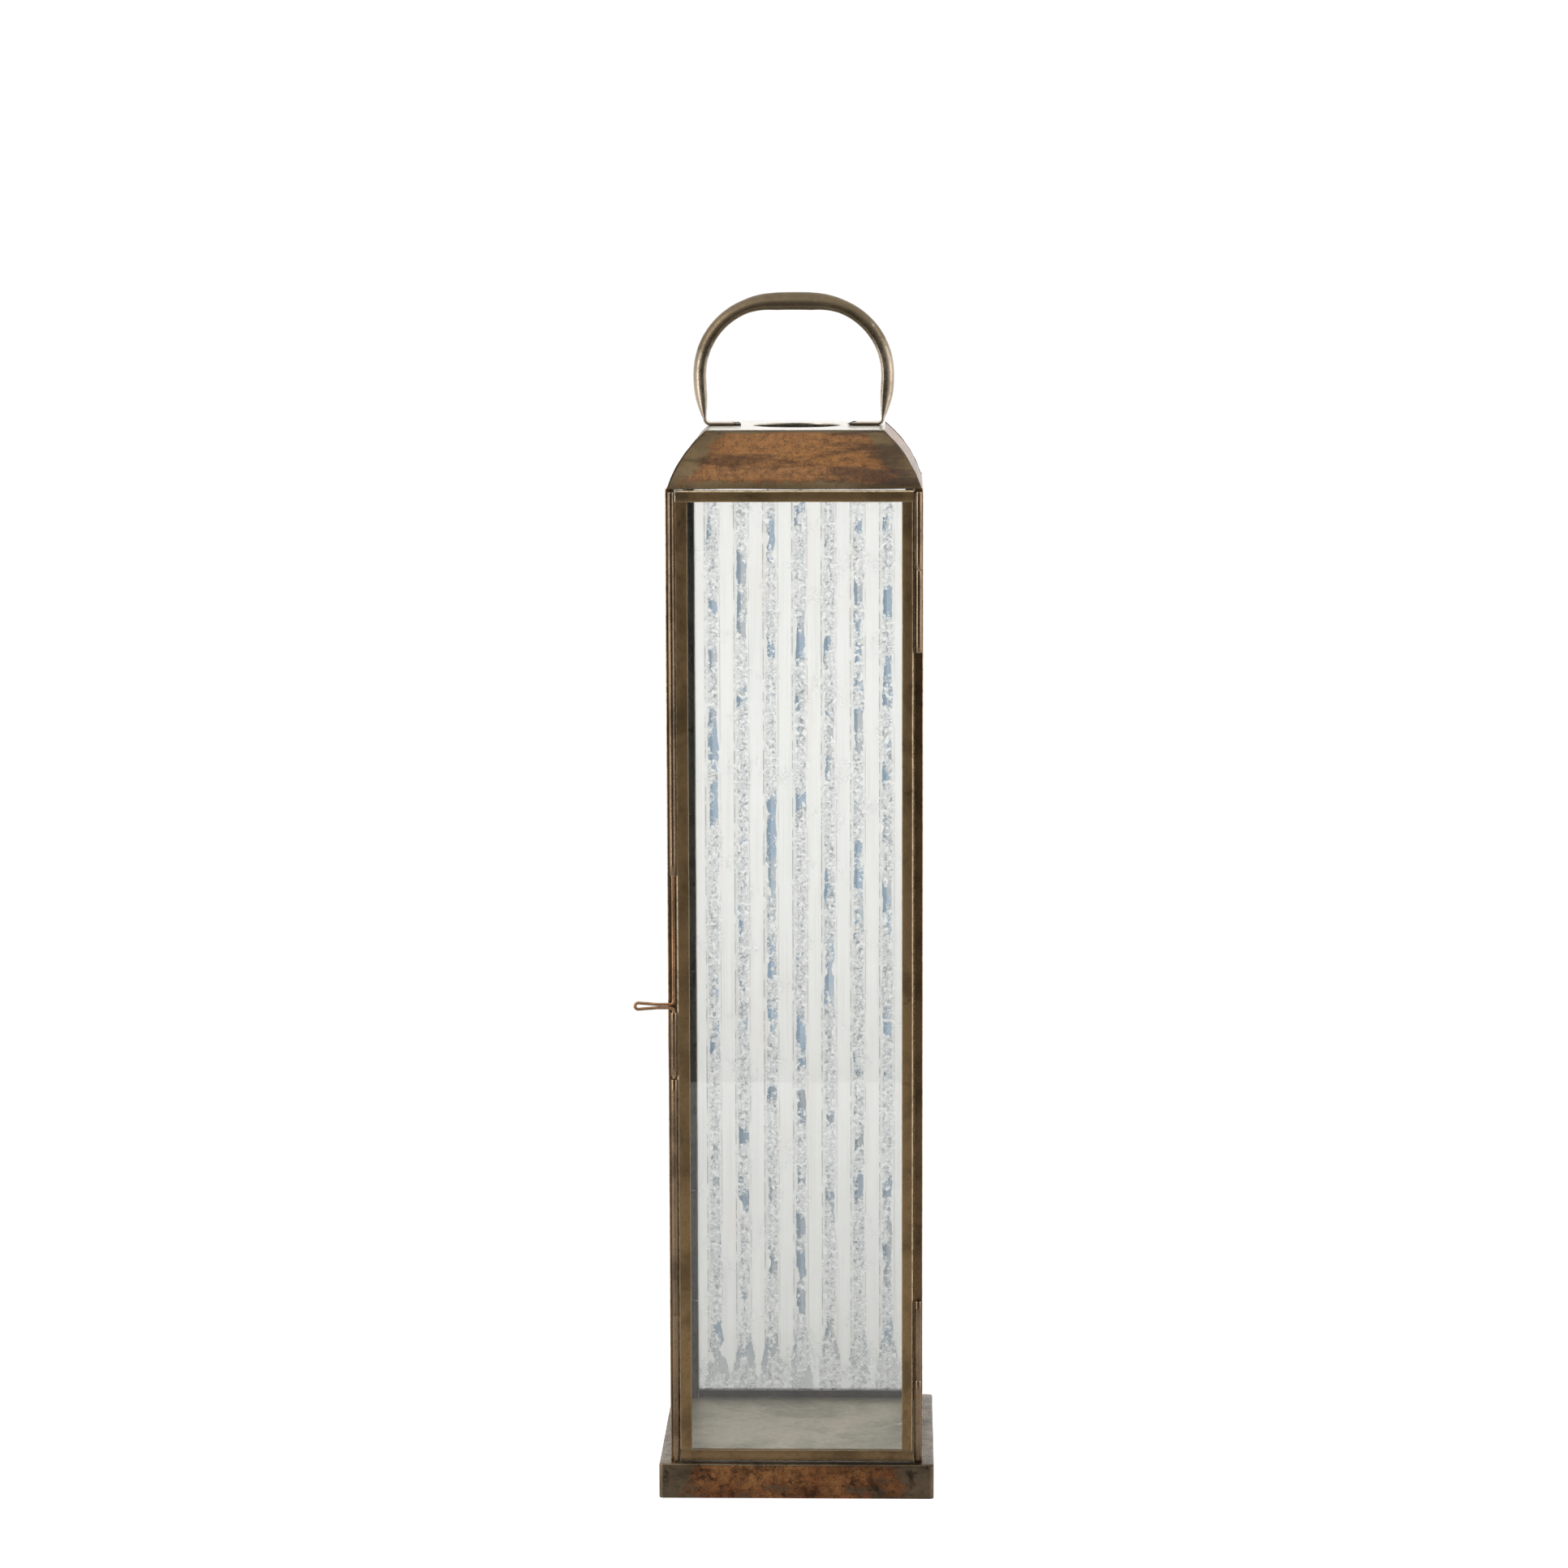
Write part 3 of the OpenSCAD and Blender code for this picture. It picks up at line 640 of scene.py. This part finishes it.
def glazing_bar(
    name, node, toward, body, material, slot, groove_w, groove_d,
    corners=(0.55, 0.55), grow=0.0
):
    """A glazing channel in the place of its CAD node, its groove open toward the glass.
    Corners are the rounds on its closed and open sides, and grow widens its closed side."""
    lo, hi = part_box(node)
    size = hi - lo
    long_way = max(range(3), key=lambda k: size[k])
    open_way = max(range(3), key=lambda k: abs(toward[k]))
    thin_way = 3 - long_way - open_way
    middle = (lo + hi) / 2
    bm = bmesh.new()
    wear_and_highlight_layer(bm)
    sign = 1 if toward[open_way] > 0 else -1
    face, thick = size[open_way] / 2, size[thin_way] / 2
    outline = [
        (-face - grow, -thick), (face, -thick), (face, -groove_w / 2), (face - groove_d, -groove_w / 2),
        (face - groove_d, groove_w / 2), (face, groove_w / 2), (face, thick), (-face - grow, thick),
    ]
    verts = []
    for across, through in outline:
        point = middle.copy()
        point[long_way] = lo[long_way]
        point[open_way] += sign * across
        point[thin_way] += through
        verts.append(bm.verts.new(point))
    end = bm.faces.new(verts)
    grown = bmesh.ops.extrude_face_region(bm, geom=[end])
    step = Vector((0, 0, 0))
    step[long_way] = size[long_way]
    bmesh.ops.translate(bm, vec=step, verts=[v for v in grown["geom"] if isinstance(v, bmesh.types.BMVert)])
    rims = [
        e for e in bm.edges
        if e.calc_length() > size[long_way] * 0.9
        and abs(abs(e.verts[0].co[thin_way] - middle[thin_way]) - thick) < 1e-6
    ]
    opened = [e for e in rims if (e.verts[0].co - middle).dot(toward) > 0]
    closed = [e for e in rims if (e.verts[0].co - middle).dot(toward) <= 0]
    # The rounds are marked rubbed bright: worn metal, and a painted highlight along each edge.
    soften(bm, closed, corners[0] * MM, 3, 0.9)
    soften(bm, [e for e in opened if e.is_valid], corners[1] * MM, 2, 0.5)
    runs = [e for e in bm.edges if e.calc_length() > size[long_way] * 0.9]
    bmesh.ops.subdivide_edges(bm, edges=runs, cuts=max(4, int(size[long_way] / (12 * MM))))
    hand_worked(bm, 0.10 * MM, 30.0)
    return finish_piece(name, bm, material, body, [node])


def wall_channels():
    """The twelve channels that frame the three silvered walls."""
    groove = (4.2 * MM, 3.0 * MM)
    for side, inward in (("left", 1), ("right", -1)):
        for node, toward in (
            (f"{side}_front_post", Y), (f"{side}_back_post", -Y),
            (f"{side}_top_rail", -Z), (f"{side}_bottom_rail", Z),
        ):
            glazing_bar(node + "_bar", node, toward, "lantern", frame_brass, "frame_brass", *groove)
        # The back stiles take the dark stile brass: painted shade in the inner corners.
        glazing_bar(f"back_{side}_stile_bar", f"back_{side}_stile", X * inward, "lantern", shaded_stile_brass,
                    "frame_brass", *groove)
    # The back rails inside take the darker brass: painted shade of the inside.
    glazing_bar("back_top_rail_bar", "back_top_rail", -Z, "lantern", shaded_inner_brass, "frame_brass", *groove)
    glazing_bar("back_bottom_rail_bar", "back_bottom_rail", Z, "lantern", shaded_inner_brass, "frame_brass", *groove)


def door_channels():
    """The four flat channels of the door."""
    for node, toward in (
        ("door_top_rail", -Z), ("door_bottom_rail", Z), ("door_latch_stile", X), ("door_hinge_stile", -X),
    ):
        grow = 0.8 * MM if node == "door_latch_stile" else 0.0
        glazing_bar(node + "_bar", node, toward, "door", door_brass, "door_brass", 2.2 * MM, 3.6 * MM,
                    (1.0, 0.45), grow)


# ---------------------------------------------------------------- glass sheets

def ribbed_sheet(name, node, side_wall):
    """A sheet of ribbed glass: its plan is drawn once and drawn up to its height."""
    lo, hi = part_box(node)
    width_way = 1 if side_wall else 0
    thin_way = 1 - width_way
    middle = (lo + hi) / 2
    across_lo, across_hi = lo[width_way] - middle[width_way], hi[width_way] - middle[width_way]
    steps_per_rib = 14
    count = int((across_hi - across_lo) / RIB_PITCH * steps_per_rib)
    bm = bmesh.new()

    def plan_point(i, face):
        a = across_lo + (across_hi - across_lo) * i / count
        place_in_rib = (a / RIB_PITCH) % 1.0
        rise = RIB_RISE * (1 - (2 * place_in_rib - 1) ** 2)
        point = middle.copy()
        point[width_way] += a
        point[thin_way] += face * (VALLEY_HALF + rise)
        point.z = lo.z
        return bm.verts.new(point)

    outline = [plan_point(i, -1) for i in range(count + 1)]
    outline += [plan_point(i, 1) for i in range(count, -1, -1)]
    foot = bm.faces.new(outline)
    grown = bmesh.ops.extrude_face_region(bm, geom=[foot])
    tops = [v for v in grown["geom"] if isinstance(v, bmesh.types.BMVert)]
    bmesh.ops.translate(bm, vec=Z * (hi.z - lo.z), verts=tops)
    runs = [e for e in bm.edges if e.calc_length() > (hi.z - lo.z) * 0.9]
    bmesh.ops.subdivide_edges(bm, edges=runs, cuts=36)
    for vert in bm.verts:
        sway = noise.noise(vert.co * 24.0) * 0.12 * MM
        vert.co[thin_way] += sway
    ribs = bm.loops.layers.uv.new("ribs")
    for face in bm.faces:
        for loop in face.loops:
            co = loop.vert.co
            loop[ribs].uv = ((co[width_way] - middle[width_way]) / RIB_PITCH, co.z - lo.z)
    return finish_piece(name, bm, silvered_glass, "lantern", [node], 50)


def clear_sheet():
    """The door's flat sheet of clear glass."""
    lo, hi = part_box("door_glass")
    bm = bmesh.new()
    place = Matrix.Translation((lo + hi) / 2) @ Matrix.Diagonal((*(hi - lo), 1))
    bmesh.ops.create_cube(bm, size=1.0, matrix=place)
    soften(bm, bm.edges[:], 0.2 * MM, 1, 0.0)
    return finish_piece("door_sheet", bm, clear_glass, "door", ["door_glass"])


# ---------------------------------------------------------------- roof

ROOF_BULGE = 2.8 * MM


def roof_arc():
    """The centre and radius of the roof's round, and the angle it spans, seen along X at the front."""
    eave = Vector((0, -EAVE, roof_lo.z))
    crown = Vector((0, -CROWN, plate_lo.z))
    chord = crown - eave
    radius = chord.length ** 2 / (8 * ROOF_BULGE) + ROOF_BULGE / 2
    outward = X.cross(chord).normalized()
    if outward.y > 0:
        outward.negate()
    centre = (eave + crown) / 2 - outward * (radius - ROOF_BULGE)
    return eave, centre, 2 * math.asin(chord.length / 2 / radius)


def roof_sheet(name, node, turn_deg):
    """One curved sheet: its slope is spun round the roof's centre, drawn wide, and cut to its mitres."""
    eave, centre, angle = roof_arc()
    bm = bmesh.new()
    wear_and_highlight_layer(bm)
    start = bm.verts.new(eave - X * EAVE)
    bmesh.ops.spin(bm, geom=[start], cent=centre, axis=X, angle=-angle, steps=16, use_merge=False)
    slope = [e for e in bm.edges]
    strips = 44
    for _ in range(strips):
        grown = bmesh.ops.extrude_edge_only(bm, edges=slope)
        moved = [v for v in grown["geom"] if isinstance(v, bmesh.types.BMVert)]
        bmesh.ops.translate(bm, vec=X * (2 * EAVE / strips), verts=moved)
        new_edges = [e for e in grown["geom"] if isinstance(e, bmesh.types.BMEdge)]
        slope = [e for e in new_edges if all(v in moved for v in e.verts)]
    for side in (-1, 1):
        bmesh.ops.bisect_plane(
            bm, geom=bm.verts[:] + bm.edges[:] + bm.faces[:], dist=1e-6, plane_co=(0, 0, 0),
            plane_no=Vector((side, 1, 0)).normalized(), clear_outer=True,
        )
    turned = Matrix.Rotation(math.radians(turn_deg), 3, "Z")
    bmesh.ops.rotate(bm, cent=(0, 0, 0), matrix=turned, verts=bm.verts)
    mark_middle(bm, roof_middle)
    hand_worked(bm, 0.30 * MM, 34.0)
    bmesh.ops.recalc_face_normals(bm, faces=bm.faces)
    outside = sum((f.normal.dot(f.calc_center_median() - Vector((0, 0, roof_lo.z)))) for f in bm.faces)
    bmesh.ops.solidify(bm, geom=bm.faces[:], thickness=SHEET if outside > 0 else -SHEET)
    bmesh.ops.recalc_face_normals(bm, faces=bm.faces)
    # Downward faces under the roof take the darker inside brass: painted shade.
    for face in bm.faces:
        face.material_index = 1 if face.normal.z < -0.05 else 0
    piece = finish_piece(name, bm, roof_brass, "lantern", [node], 50)
    piece.data.materials.append(shaded_inner_brass)
    return piece


def roof_middle(co):
    """How far a point of a roof sheet is from its edges: 0 at an edge, 1 well inside."""
    up = (co.z - roof_lo.z) / (plate_lo.z - roof_lo.z)
    half = EAVE + (CROWN - EAVE) * up
    side = half - min(abs(co.x), abs(co.y))
    return min(1.0, side / (21 * MM)) * min(1.0, up / 0.22) * min(1.0, (1 - up) / 0.06)


def hip_seam(name, side_x, side_y):
    """The solder that closes one mitred corner of the roof."""
    eave, centre, angle = roof_arc()
    radius = (eave - centre).length
    start = math.atan2(eave.z - centre.z, -(eave.y - centre.y))
    stations = []
    steps = 26
    for i in range(steps + 1):
        a = start + angle * i / steps
        out = -centre.y + radius * math.cos(a)
        point = Vector((side_x * out, side_y * out, centre.z + radius * math.sin(a)))
        bead = (0.5 + 0.25 * noise.noise(point * 160.0)) * MM
        stations.append((point - Vector((side_x, side_y, 0)) * 0.25 * MM, bead, bead, 1.0))
    bm = bmesh.new()
    wear_and_highlight_layer(bm)
    wide = Vector((side_y, -side_x, 0)).normalized()
    sweep(bm, stations, wide, 8)
    return finish_piece(name, bm, seam_metal, "lantern", ())


def crown_plate():
    """The flat plate with its round chimney hole, its rims slightly rounded."""
    bm = bmesh.new()
    wear_and_highlight_layer(bm)
    hole_r = 27.4 * MM
    top = Z * plate_hi.z
    hole = bmesh.ops.create_circle(bm, segments=96, radius=hole_r, matrix=Matrix.Translation(top))["verts"]
    edge = bmesh.ops.create_circle(bm, segments=96, radius=1.0, matrix=Matrix.Translation(top))["verts"]
    for vert in edge:
        reach = max(abs(vert.co.x), abs(vert.co.y))
        vert.co.x *= CROWN / reach
        vert.co.y *= CROWN / reach
    bmesh.ops.bridge_loops(bm, edges=ring_edges(hole) + ring_edges(edge))
    spokes = [e for e in bm.edges if (e.verts[0] in hole) != (e.verts[1] in hole)]
    bmesh.ops.subdivide_edges(bm, edges=spokes, cuts=6)
    bmesh.ops.recalc_face_normals(bm, faces=bm.faces)
    if bm.faces[:][0].normal.z < 0:
        bmesh.ops.reverse_faces(bm, faces=bm.faces[:])
    bmesh.ops.solidify(bm, geom=bm.faces[:], thickness=SHEET)
    upper = [e for e in bm.edges if all(v.co.z > plate_hi.z - 0.1 * MM for v in e.verts)]
    rims = [e for e in upper if e.calc_face_angle(0) > 1.0]
    # The plate's rims are marked rubbed bright: worn metal, and a painted highlight along them.
    soften(bm, rims, 0.25 * MM, 2, 1.0)
    return finish_piece("crown_plate", bm, plate_brass, "lantern", ["top_plate"])


# ---------------------------------------------------------------- handle

def handle():
    """One tube bent in an arch, its ends pinched flat and turned in to make the two feet."""
    lo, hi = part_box("handle")
    middle_x = (lo.x + hi.x) / 2
    tube_r, strap_half = 5.5 * MM, 1.0 * MM
    leg_flat, bend_flat = 0.32, 0.24
    strap_z = plate_hi.z + strap_half
    corner_r, pinch = 3.4 * MM, 18 * MM

    def station(x, z, flat):
        half_t = tube_r + (strap_half - tube_r) * flat
        return [x, z, half_t, tube_r * (1 + 0.3 * flat), 1 - 0.5 * flat]

    leg_x = (hi.x - lo.x) / 2 - station(0, 0, leg_flat)[2]
    grip_half, crown = 13 * MM, 0.25 * MM
    bend_r = leg_x - grip_half
    spring_z = hi.z - tube_r - bend_r
    neck_x, neck_z = leg_x - 2.9 * MM, strap_z + corner_r
    half = [station(neck_x - corner_r - 15 * MM * (1 - i / 8), strap_z, 1) for i in range(8)]
    for i in range(9):
        a = math.radians(-90 + 90 * i / 8)
        half.append(station(neck_x + corner_r * (math.cos(a) - 1), strap_z + corner_r * (1 + math.sin(a)), 1))
    for i in range(1, 27):
        u = i / 26
        z = neck_z + (spring_z - neck_z) * u
        flat = leg_flat + (1 - leg_flat) * max(0.0, 1 - (z - neck_z) / pinch) ** 1.7
        half.append(station(neck_x + (leg_x - neck_x) * math.sin(math.radians(90 * u)), z, flat))
    for i in range(1, 31):
        a = math.radians(3 * i)
        flat = (leg_flat + (bend_flat - leg_flat) * i / 30) * min(1.0, 0.15 + (90 - 3 * i) / 26)
        z = spring_z + (bend_r - crown) * math.sin(a)
        half.append(station(grip_half + bend_r * math.cos(a), z, flat))
    for i in range(1, 5):
        out = 1 - i / 4
        half.append(station(grip_half * out, hi.z - tube_r - crown * out ** 2, 0))
    both = half + [[-s[0]] + s[1:] for s in half[-2::-1]]
    stations = []
    for x, z, half_t, half_w, squareness in both:
        point = Vector((middle_x + x, 0, z))
        dent = 1 + 0.012 * noise.noise(point * 60.0)
        stations.append((point, half_t * dent, half_w * dent, squareness))
    bm = bmesh.new()
    wear_and_highlight_layer(bm)
    sweep(bm, stations, Y, 40, lean=-0.36)
    # Height up the arch drives the darker bloom: painted shade on the top of the handle.
    mark_middle(bm, lambda co: (co.z - spring_z) / (0.8 * (hi.z - spring_z)))
    return finish_piece("handle_tube", bm, handle_brass, "lantern", ["handle"], 60)


# ---------------------------------------------------------------- hinges, guides and bolt

def rolled_tube(name, node, axis_x, axis_y, body, web):
    """A tube rolled from strip, with softened ends and a fillet of solder on one side."""
    lo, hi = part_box(node)
    outer, inner = 1.85 * MM, 1.06 * MM
    bm = bmesh.new()
    wear_and_highlight_layer(bm)
    length = hi.z - lo.z
    foot = Vector((axis_x, axis_y, lo.z))
    made = bmesh.ops.create_circle(bm, segments=28, radius=outer, matrix=Matrix.Translation(foot))
    grown = bmesh.ops.extrude_edge_only(bm, edges=ring_edges(made["verts"]))
    tops = [v for v in grown["geom"] if isinstance(v, bmesh.types.BMVert)]
    bmesh.ops.translate(bm, vec=Z * length, verts=tops)
    bmesh.ops.recalc_face_normals(bm, faces=bm.faces)
    if bm.faces[:][0].normal.dot(bm.faces[:][0].calc_center_median() - foot) < 0:
        bmesh.ops.reverse_faces(bm, faces=bm.faces[:])
    bmesh.ops.solidify(bm, geom=bm.faces[:], thickness=outer - inner)
    rims = [e for e in bm.edges if abs(e.verts[0].co.z - e.verts[1].co.z) < 1e-7
            and all((v.co.xy - foot.xy).length > outer * 0.98 for v in e.verts)]
    # The tube's rims are marked rubbed bright: worn metal, and a painted highlight on them.
    soften(bm, rims, 0.25 * MM, 2, 1.0)
    runs = [e for e in bm.edges if e.calc_length() > length * 0.8]
    bmesh.ops.subdivide_edges(bm, edges=runs, cuts=max(6, int(length / (8 * MM))))
    hand_worked(bm, 0.05 * MM, 40.0)
    piece = finish_piece(name, bm, tube_brass, body, [node])
    for k, (low, high) in enumerate(web["spans"]):
        solder_fillet(f"{name}_solder_{k + 1}", Vector((axis_x, axis_y, 0)), web["toward"], low, high, body)
    return piece


def solder_fillet(name, axis, toward, low, high, body):
    """Solder run between a tube and the flat beside it: a wavy bead, wide at the tube and tapering away."""
    reach = 1.75 * MM
    bm = bmesh.new()
    wear_and_highlight_layer(bm)
    stations = []
    steps = max(8, int((high - low) / (2.5 * MM)))
    for i in range(steps + 1):
        z = low + (high - low) * i / steps
        at_end = math.sin(math.pi * min(1, max(0.0, i / steps) * 12, (1 - i / steps) * 12) / 2)
        swell = (0.55 + 0.45 * at_end) * (1 + 0.25 * noise.noise(Vector((axis.x * 50, toward.x, z * 240))))
        point = axis + toward * reach + Z * z
        stations.append((point, 0.85 * MM * swell, 0.75 * MM * swell, 1.0))
    sweep(bm, stations, toward, 10)
    return finish_piece(name, bm, solder_metal, body, ())


def hinges_and_latch():
    """Every tube of the two hinges and the latch, with the solder that holds it."""
    hinge = next(j for j in frame["joints"] if j["name"] == "door_swing")
    hx, hy = hinge["pos_m"][0], hinge["pos_m"][1]
    to_post, to_latch_stile, to_hinge_stile = Y, X, -X
    for which in ("upper", "lower"):
        for part, body, toward in (("body", "lantern", to_post), ("door", "door", to_hinge_stile)):
            node = f"{which}_{part}_knuckle"
            lo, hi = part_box(node)
            rolled_tube(node + "_tube", node, hx, hy, body,
                        {"toward": toward, "spans": [(lo.z + MM, hi.z - MM)]})
    bolt_lo, bolt_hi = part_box("bolt")
    bx = bolt_hi.x - 1.0 * MM
    solder_run = 38 * MM
    lo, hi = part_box("guide_tube")
    foot_run = (lo.z + MM, lo.z + solder_run)
    head_run = (hi.z - solder_run, hi.z - MM)
    rolled_tube("long_guide_tube", "guide_tube", bx, hy, "door",
                {"toward": to_latch_stile, "spans": [foot_run, head_run]})
    lo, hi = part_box("short_guide")
    rolled_tube("short_guide_tube", "short_guide", bx, hy, "door",
                {"toward": to_latch_stile, "spans": [(lo.z + MM, hi.z - MM)]})
    lo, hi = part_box("keeper_tube")
    rolled_tube("keeper_guide_tube", "keeper_tube", bx, hy, "lantern",
                {"toward": to_post, "spans": [(lo.z + MM, hi.z - MM)]})


def bolt_wire():
    """The drop bolt: one wire with a finger loop bent in it."""
    lo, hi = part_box("bolt")
    r = 1.0 * MM
    x, y = hi.x - r, (lo.y + hi.y) / 2
    guide_lo, guide_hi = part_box("short_guide")
    loop_z = guide_hi.z + 3.95 * MM
    bend, neck, eye, turn = 2.2 * MM, 1.05 * MM, 1.95 * MM, 8 * MM
    neck_x = -bend - 7.5 * MM
    eye_x = (lo.x - x) + r + eye
    span = Vector((neck_x - eye_x, neck + turn))
    splay = math.atan2(span.x, span.y) - math.acos((eye + turn) / span.length)
    half = [(0.0, hi.z - loop_z), (0.0, (hi.z - loop_z) * 0.5), (0.0, neck + bend + 6 * MM)]
    half += [(bend * (math.cos(a) - 1), neck + bend * (1 + math.sin(a)))
             for a in (math.radians(-10 * k) for k in range(10))]
    half += [(neck_x - turn * math.sin(a), neck + turn * (1 - math.cos(a)))
             for a in (splay * k / 3 for k in range(4))]
    half += [(eye_x + eye * math.cos(a), eye * math.sin(a))
             for a in (math.pi / 2 - splay + (math.pi / 2 + splay) * k / 12 for k in range(13))]
    lower = [(px, -pz) for px, pz in half[-2:2:-1]] + [(0.0, lo.z - loop_z)]
    stations = [(Vector((x + px, y, loop_z + pz)), r, r, 1.0) for px, pz in half + lower]
    bm = bmesh.new()
    wear_and_highlight_layer(bm)
    sweep(bm, stations, Y, 20)
    return finish_piece("bolt_wire", bm, wire_brass, "bolt", ["bolt"], 60)


# ---------------------------------------------------------------- solder and small things

def solder_puddle(name, centre, size, body, seed, material):
    """A frozen puddle of solder: a ball flattened and made lumpy."""
    bm = bmesh.new()
    wear_and_highlight_layer(bm)
    place = Matrix.Translation(centre) @ Matrix.Diagonal((*size, 1))
    bmesh.ops.create_icosphere(bm, subdivisions=4, radius=1.0, matrix=place)
    for vert in bm.verts:
        vert.co += (vert.co - centre) * 0.7 * noise.noise((vert.co - centre) * 420.0 + Vector((seed, 0, 0)))
    return finish_piece(name, bm, material, body, (), 80)


def puddles():
    """Ragged dark solder under the inner end of each foot of the handle, its dark tone also a painted shadow
    under the foot.
    """
    lo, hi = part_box("handle")
    reach = 25.4 * MM
    size = Vector((3.4, 5.0, 1.2)) * MM
    for side, x in (("left", lo.x + reach), ("right", hi.x - reach)):
        centre = Vector((x, -1 * MM, plate_hi.z + 0.7 * MM))
        solder_puddle(f"{side}_foot_solder", centre, size, "lantern", x * 900, shaded_inner_brass)


base_pan()
wall_channels()
door_channels()
for wall in ("left", "right", "back"):
    ribbed_sheet(f"{wall}_ribbed_sheet", f"{wall}_pane", wall != "back")
clear_sheet()
for roof_name, turn in (("front", 0), ("right", 90), ("back", 180), ("left", -90)):
    roof_sheet(f"{roof_name}_roof_sheet", f"roof_{roof_name}", turn)
for depth_name, side_y in (("front", -1), ("back", 1)):
    for width_name, side_x in (("left", -1), ("right", 1)):
        hip_seam(f"{depth_name}_{width_name}_hip_seam", side_x, side_y)
crown_plate()
handle()
hinges_and_latch()
bolt_wire()
puddles()

for node_name in ("upper_hinge_pin", "lower_hinge_pin"):
    frame["nodes"][node_name].data.materials.clear()
    frame["nodes"][node_name].data.materials.append(wire_brass)


# ---------------------------------------------------------------- floor, light and camera

def studio():
    """A pale floor, two tall soft lights at the sides and one above the front."""
    scene = bpy.context.scene
    scene.view_settings.view_transform = "Standard"
    bm = bmesh.new()
    bmesh.ops.create_grid(bm, x_segments=1, y_segments=1, size=1.4)
    mesh = bpy.data.meshes.new("floor")
    bm.to_mesh(mesh)
    bm.free()
    floor = bpy.data.objects.new("floor", mesh)
    material, tree, shader = new_material("floor_paper", Roughness=0.9)
    shader.inputs["Base Color"].default_value = (0.55, 0.55, 0.55, 1)
    shader.inputs["Emission Color"].default_value = (1, 1, 1, 1)
    path = add(tree, "ShaderNodeLightPath")
    one_sheet = maths(tree, "LESS_THAN", path.outputs["Transmission Depth"], 2.5)
    through = times(tree, path.outputs["Is Transmission Ray"], one_sheet)
    seen = most(tree, path.outputs["Is Camera Ray"], through)
    tree.links.new(times(tree, seen, 0.72), shader.inputs["Emission Strength"])
    mesh.materials.append(material)
    scene.collection.objects.link(floor)

    world = bpy.data.worlds.new("studio")
    world.use_nodes = True
    scene.world = world
    tree = world.node_tree
    tree.nodes.clear()
    direction = add(tree, "ShaderNodeTexCoord").outputs["Generated"]
    toward = add(tree, "ShaderNodeSeparateXYZ", {0: direction}).outputs[1]
    sides = between(tree, toward, -0.98, -0.40, 0.10, 1.15)
    strength = plus(tree, sides, between(tree, toward, 0.2, 0.7, 0.0, 0.32))
    seen = add(tree, "ShaderNodeBackground", {"Color": (1, 1, 1, 1), "Strength": 1.05})
    light = add(tree, "ShaderNodeBackground", {"Color": (1, 1, 1, 1), "Strength": strength})
    path = add(tree, "ShaderNodeLightPath").outputs["Is Camera Ray"]
    joined = add(tree, "ShaderNodeMixShader", {0: path, 1: light.outputs[0], 2: seen.outputs[0]})
    out = add(tree, "ShaderNodeOutputWorld")
    tree.links.new(joined.outputs[0], out.inputs["Surface"])

    for name, place, size, power in (
        ("left_softbox", (-1.6, -1.0, 1.0), (0.6, 2.2), 18),
        ("right_softbox", (1.9, -0.3, 1.0), (1.0, 2.2), 11),
        ("front_softbox", (-0.4, -2.0, 2.6), (1.4, 0.9), 6),
    ):
        lamp = bpy.data.lights.new(name, "AREA")
        lamp.shape = "RECTANGLE"
        lamp.size, lamp.size_y = size
        lamp.energy = power
        shade = bpy.data.objects.new(name, lamp)
        shade.location = place
        shade.rotation_euler = (Vector((0, 0, 0.4)) - Vector(place)).to_track_quat("-Z", "Y").to_euler()
        scene.collection.objects.link(shade)


def camera():
    """A long lens just to the right of the front and a little above the handle, looking slightly down."""
    scene = bpy.context.scene
    lens = bpy.data.cameras.new("camera")
    lens.sensor_width = 36.0
    lens.lens = 105.7
    lens.clip_end = 100.0
    view = bpy.data.objects.new("camera", lens)
    yaw, pitch, roll = (math.radians(a) for a in (1.501, 7.45, -0.171))
    turned = Matrix.Rotation(yaw, 4, "Z")
    tipped = Matrix.Rotation(math.pi / 2 - pitch, 4, "X")
    rolled = Matrix.Rotation(roll, 4, "Z")
    view.matrix_world = Matrix.Translation((0.0662, -2.8532, 0.8082)) @ turned @ tipped @ rolled
    scene.collection.objects.link(view)
    scene.camera = view


studio()
camera()
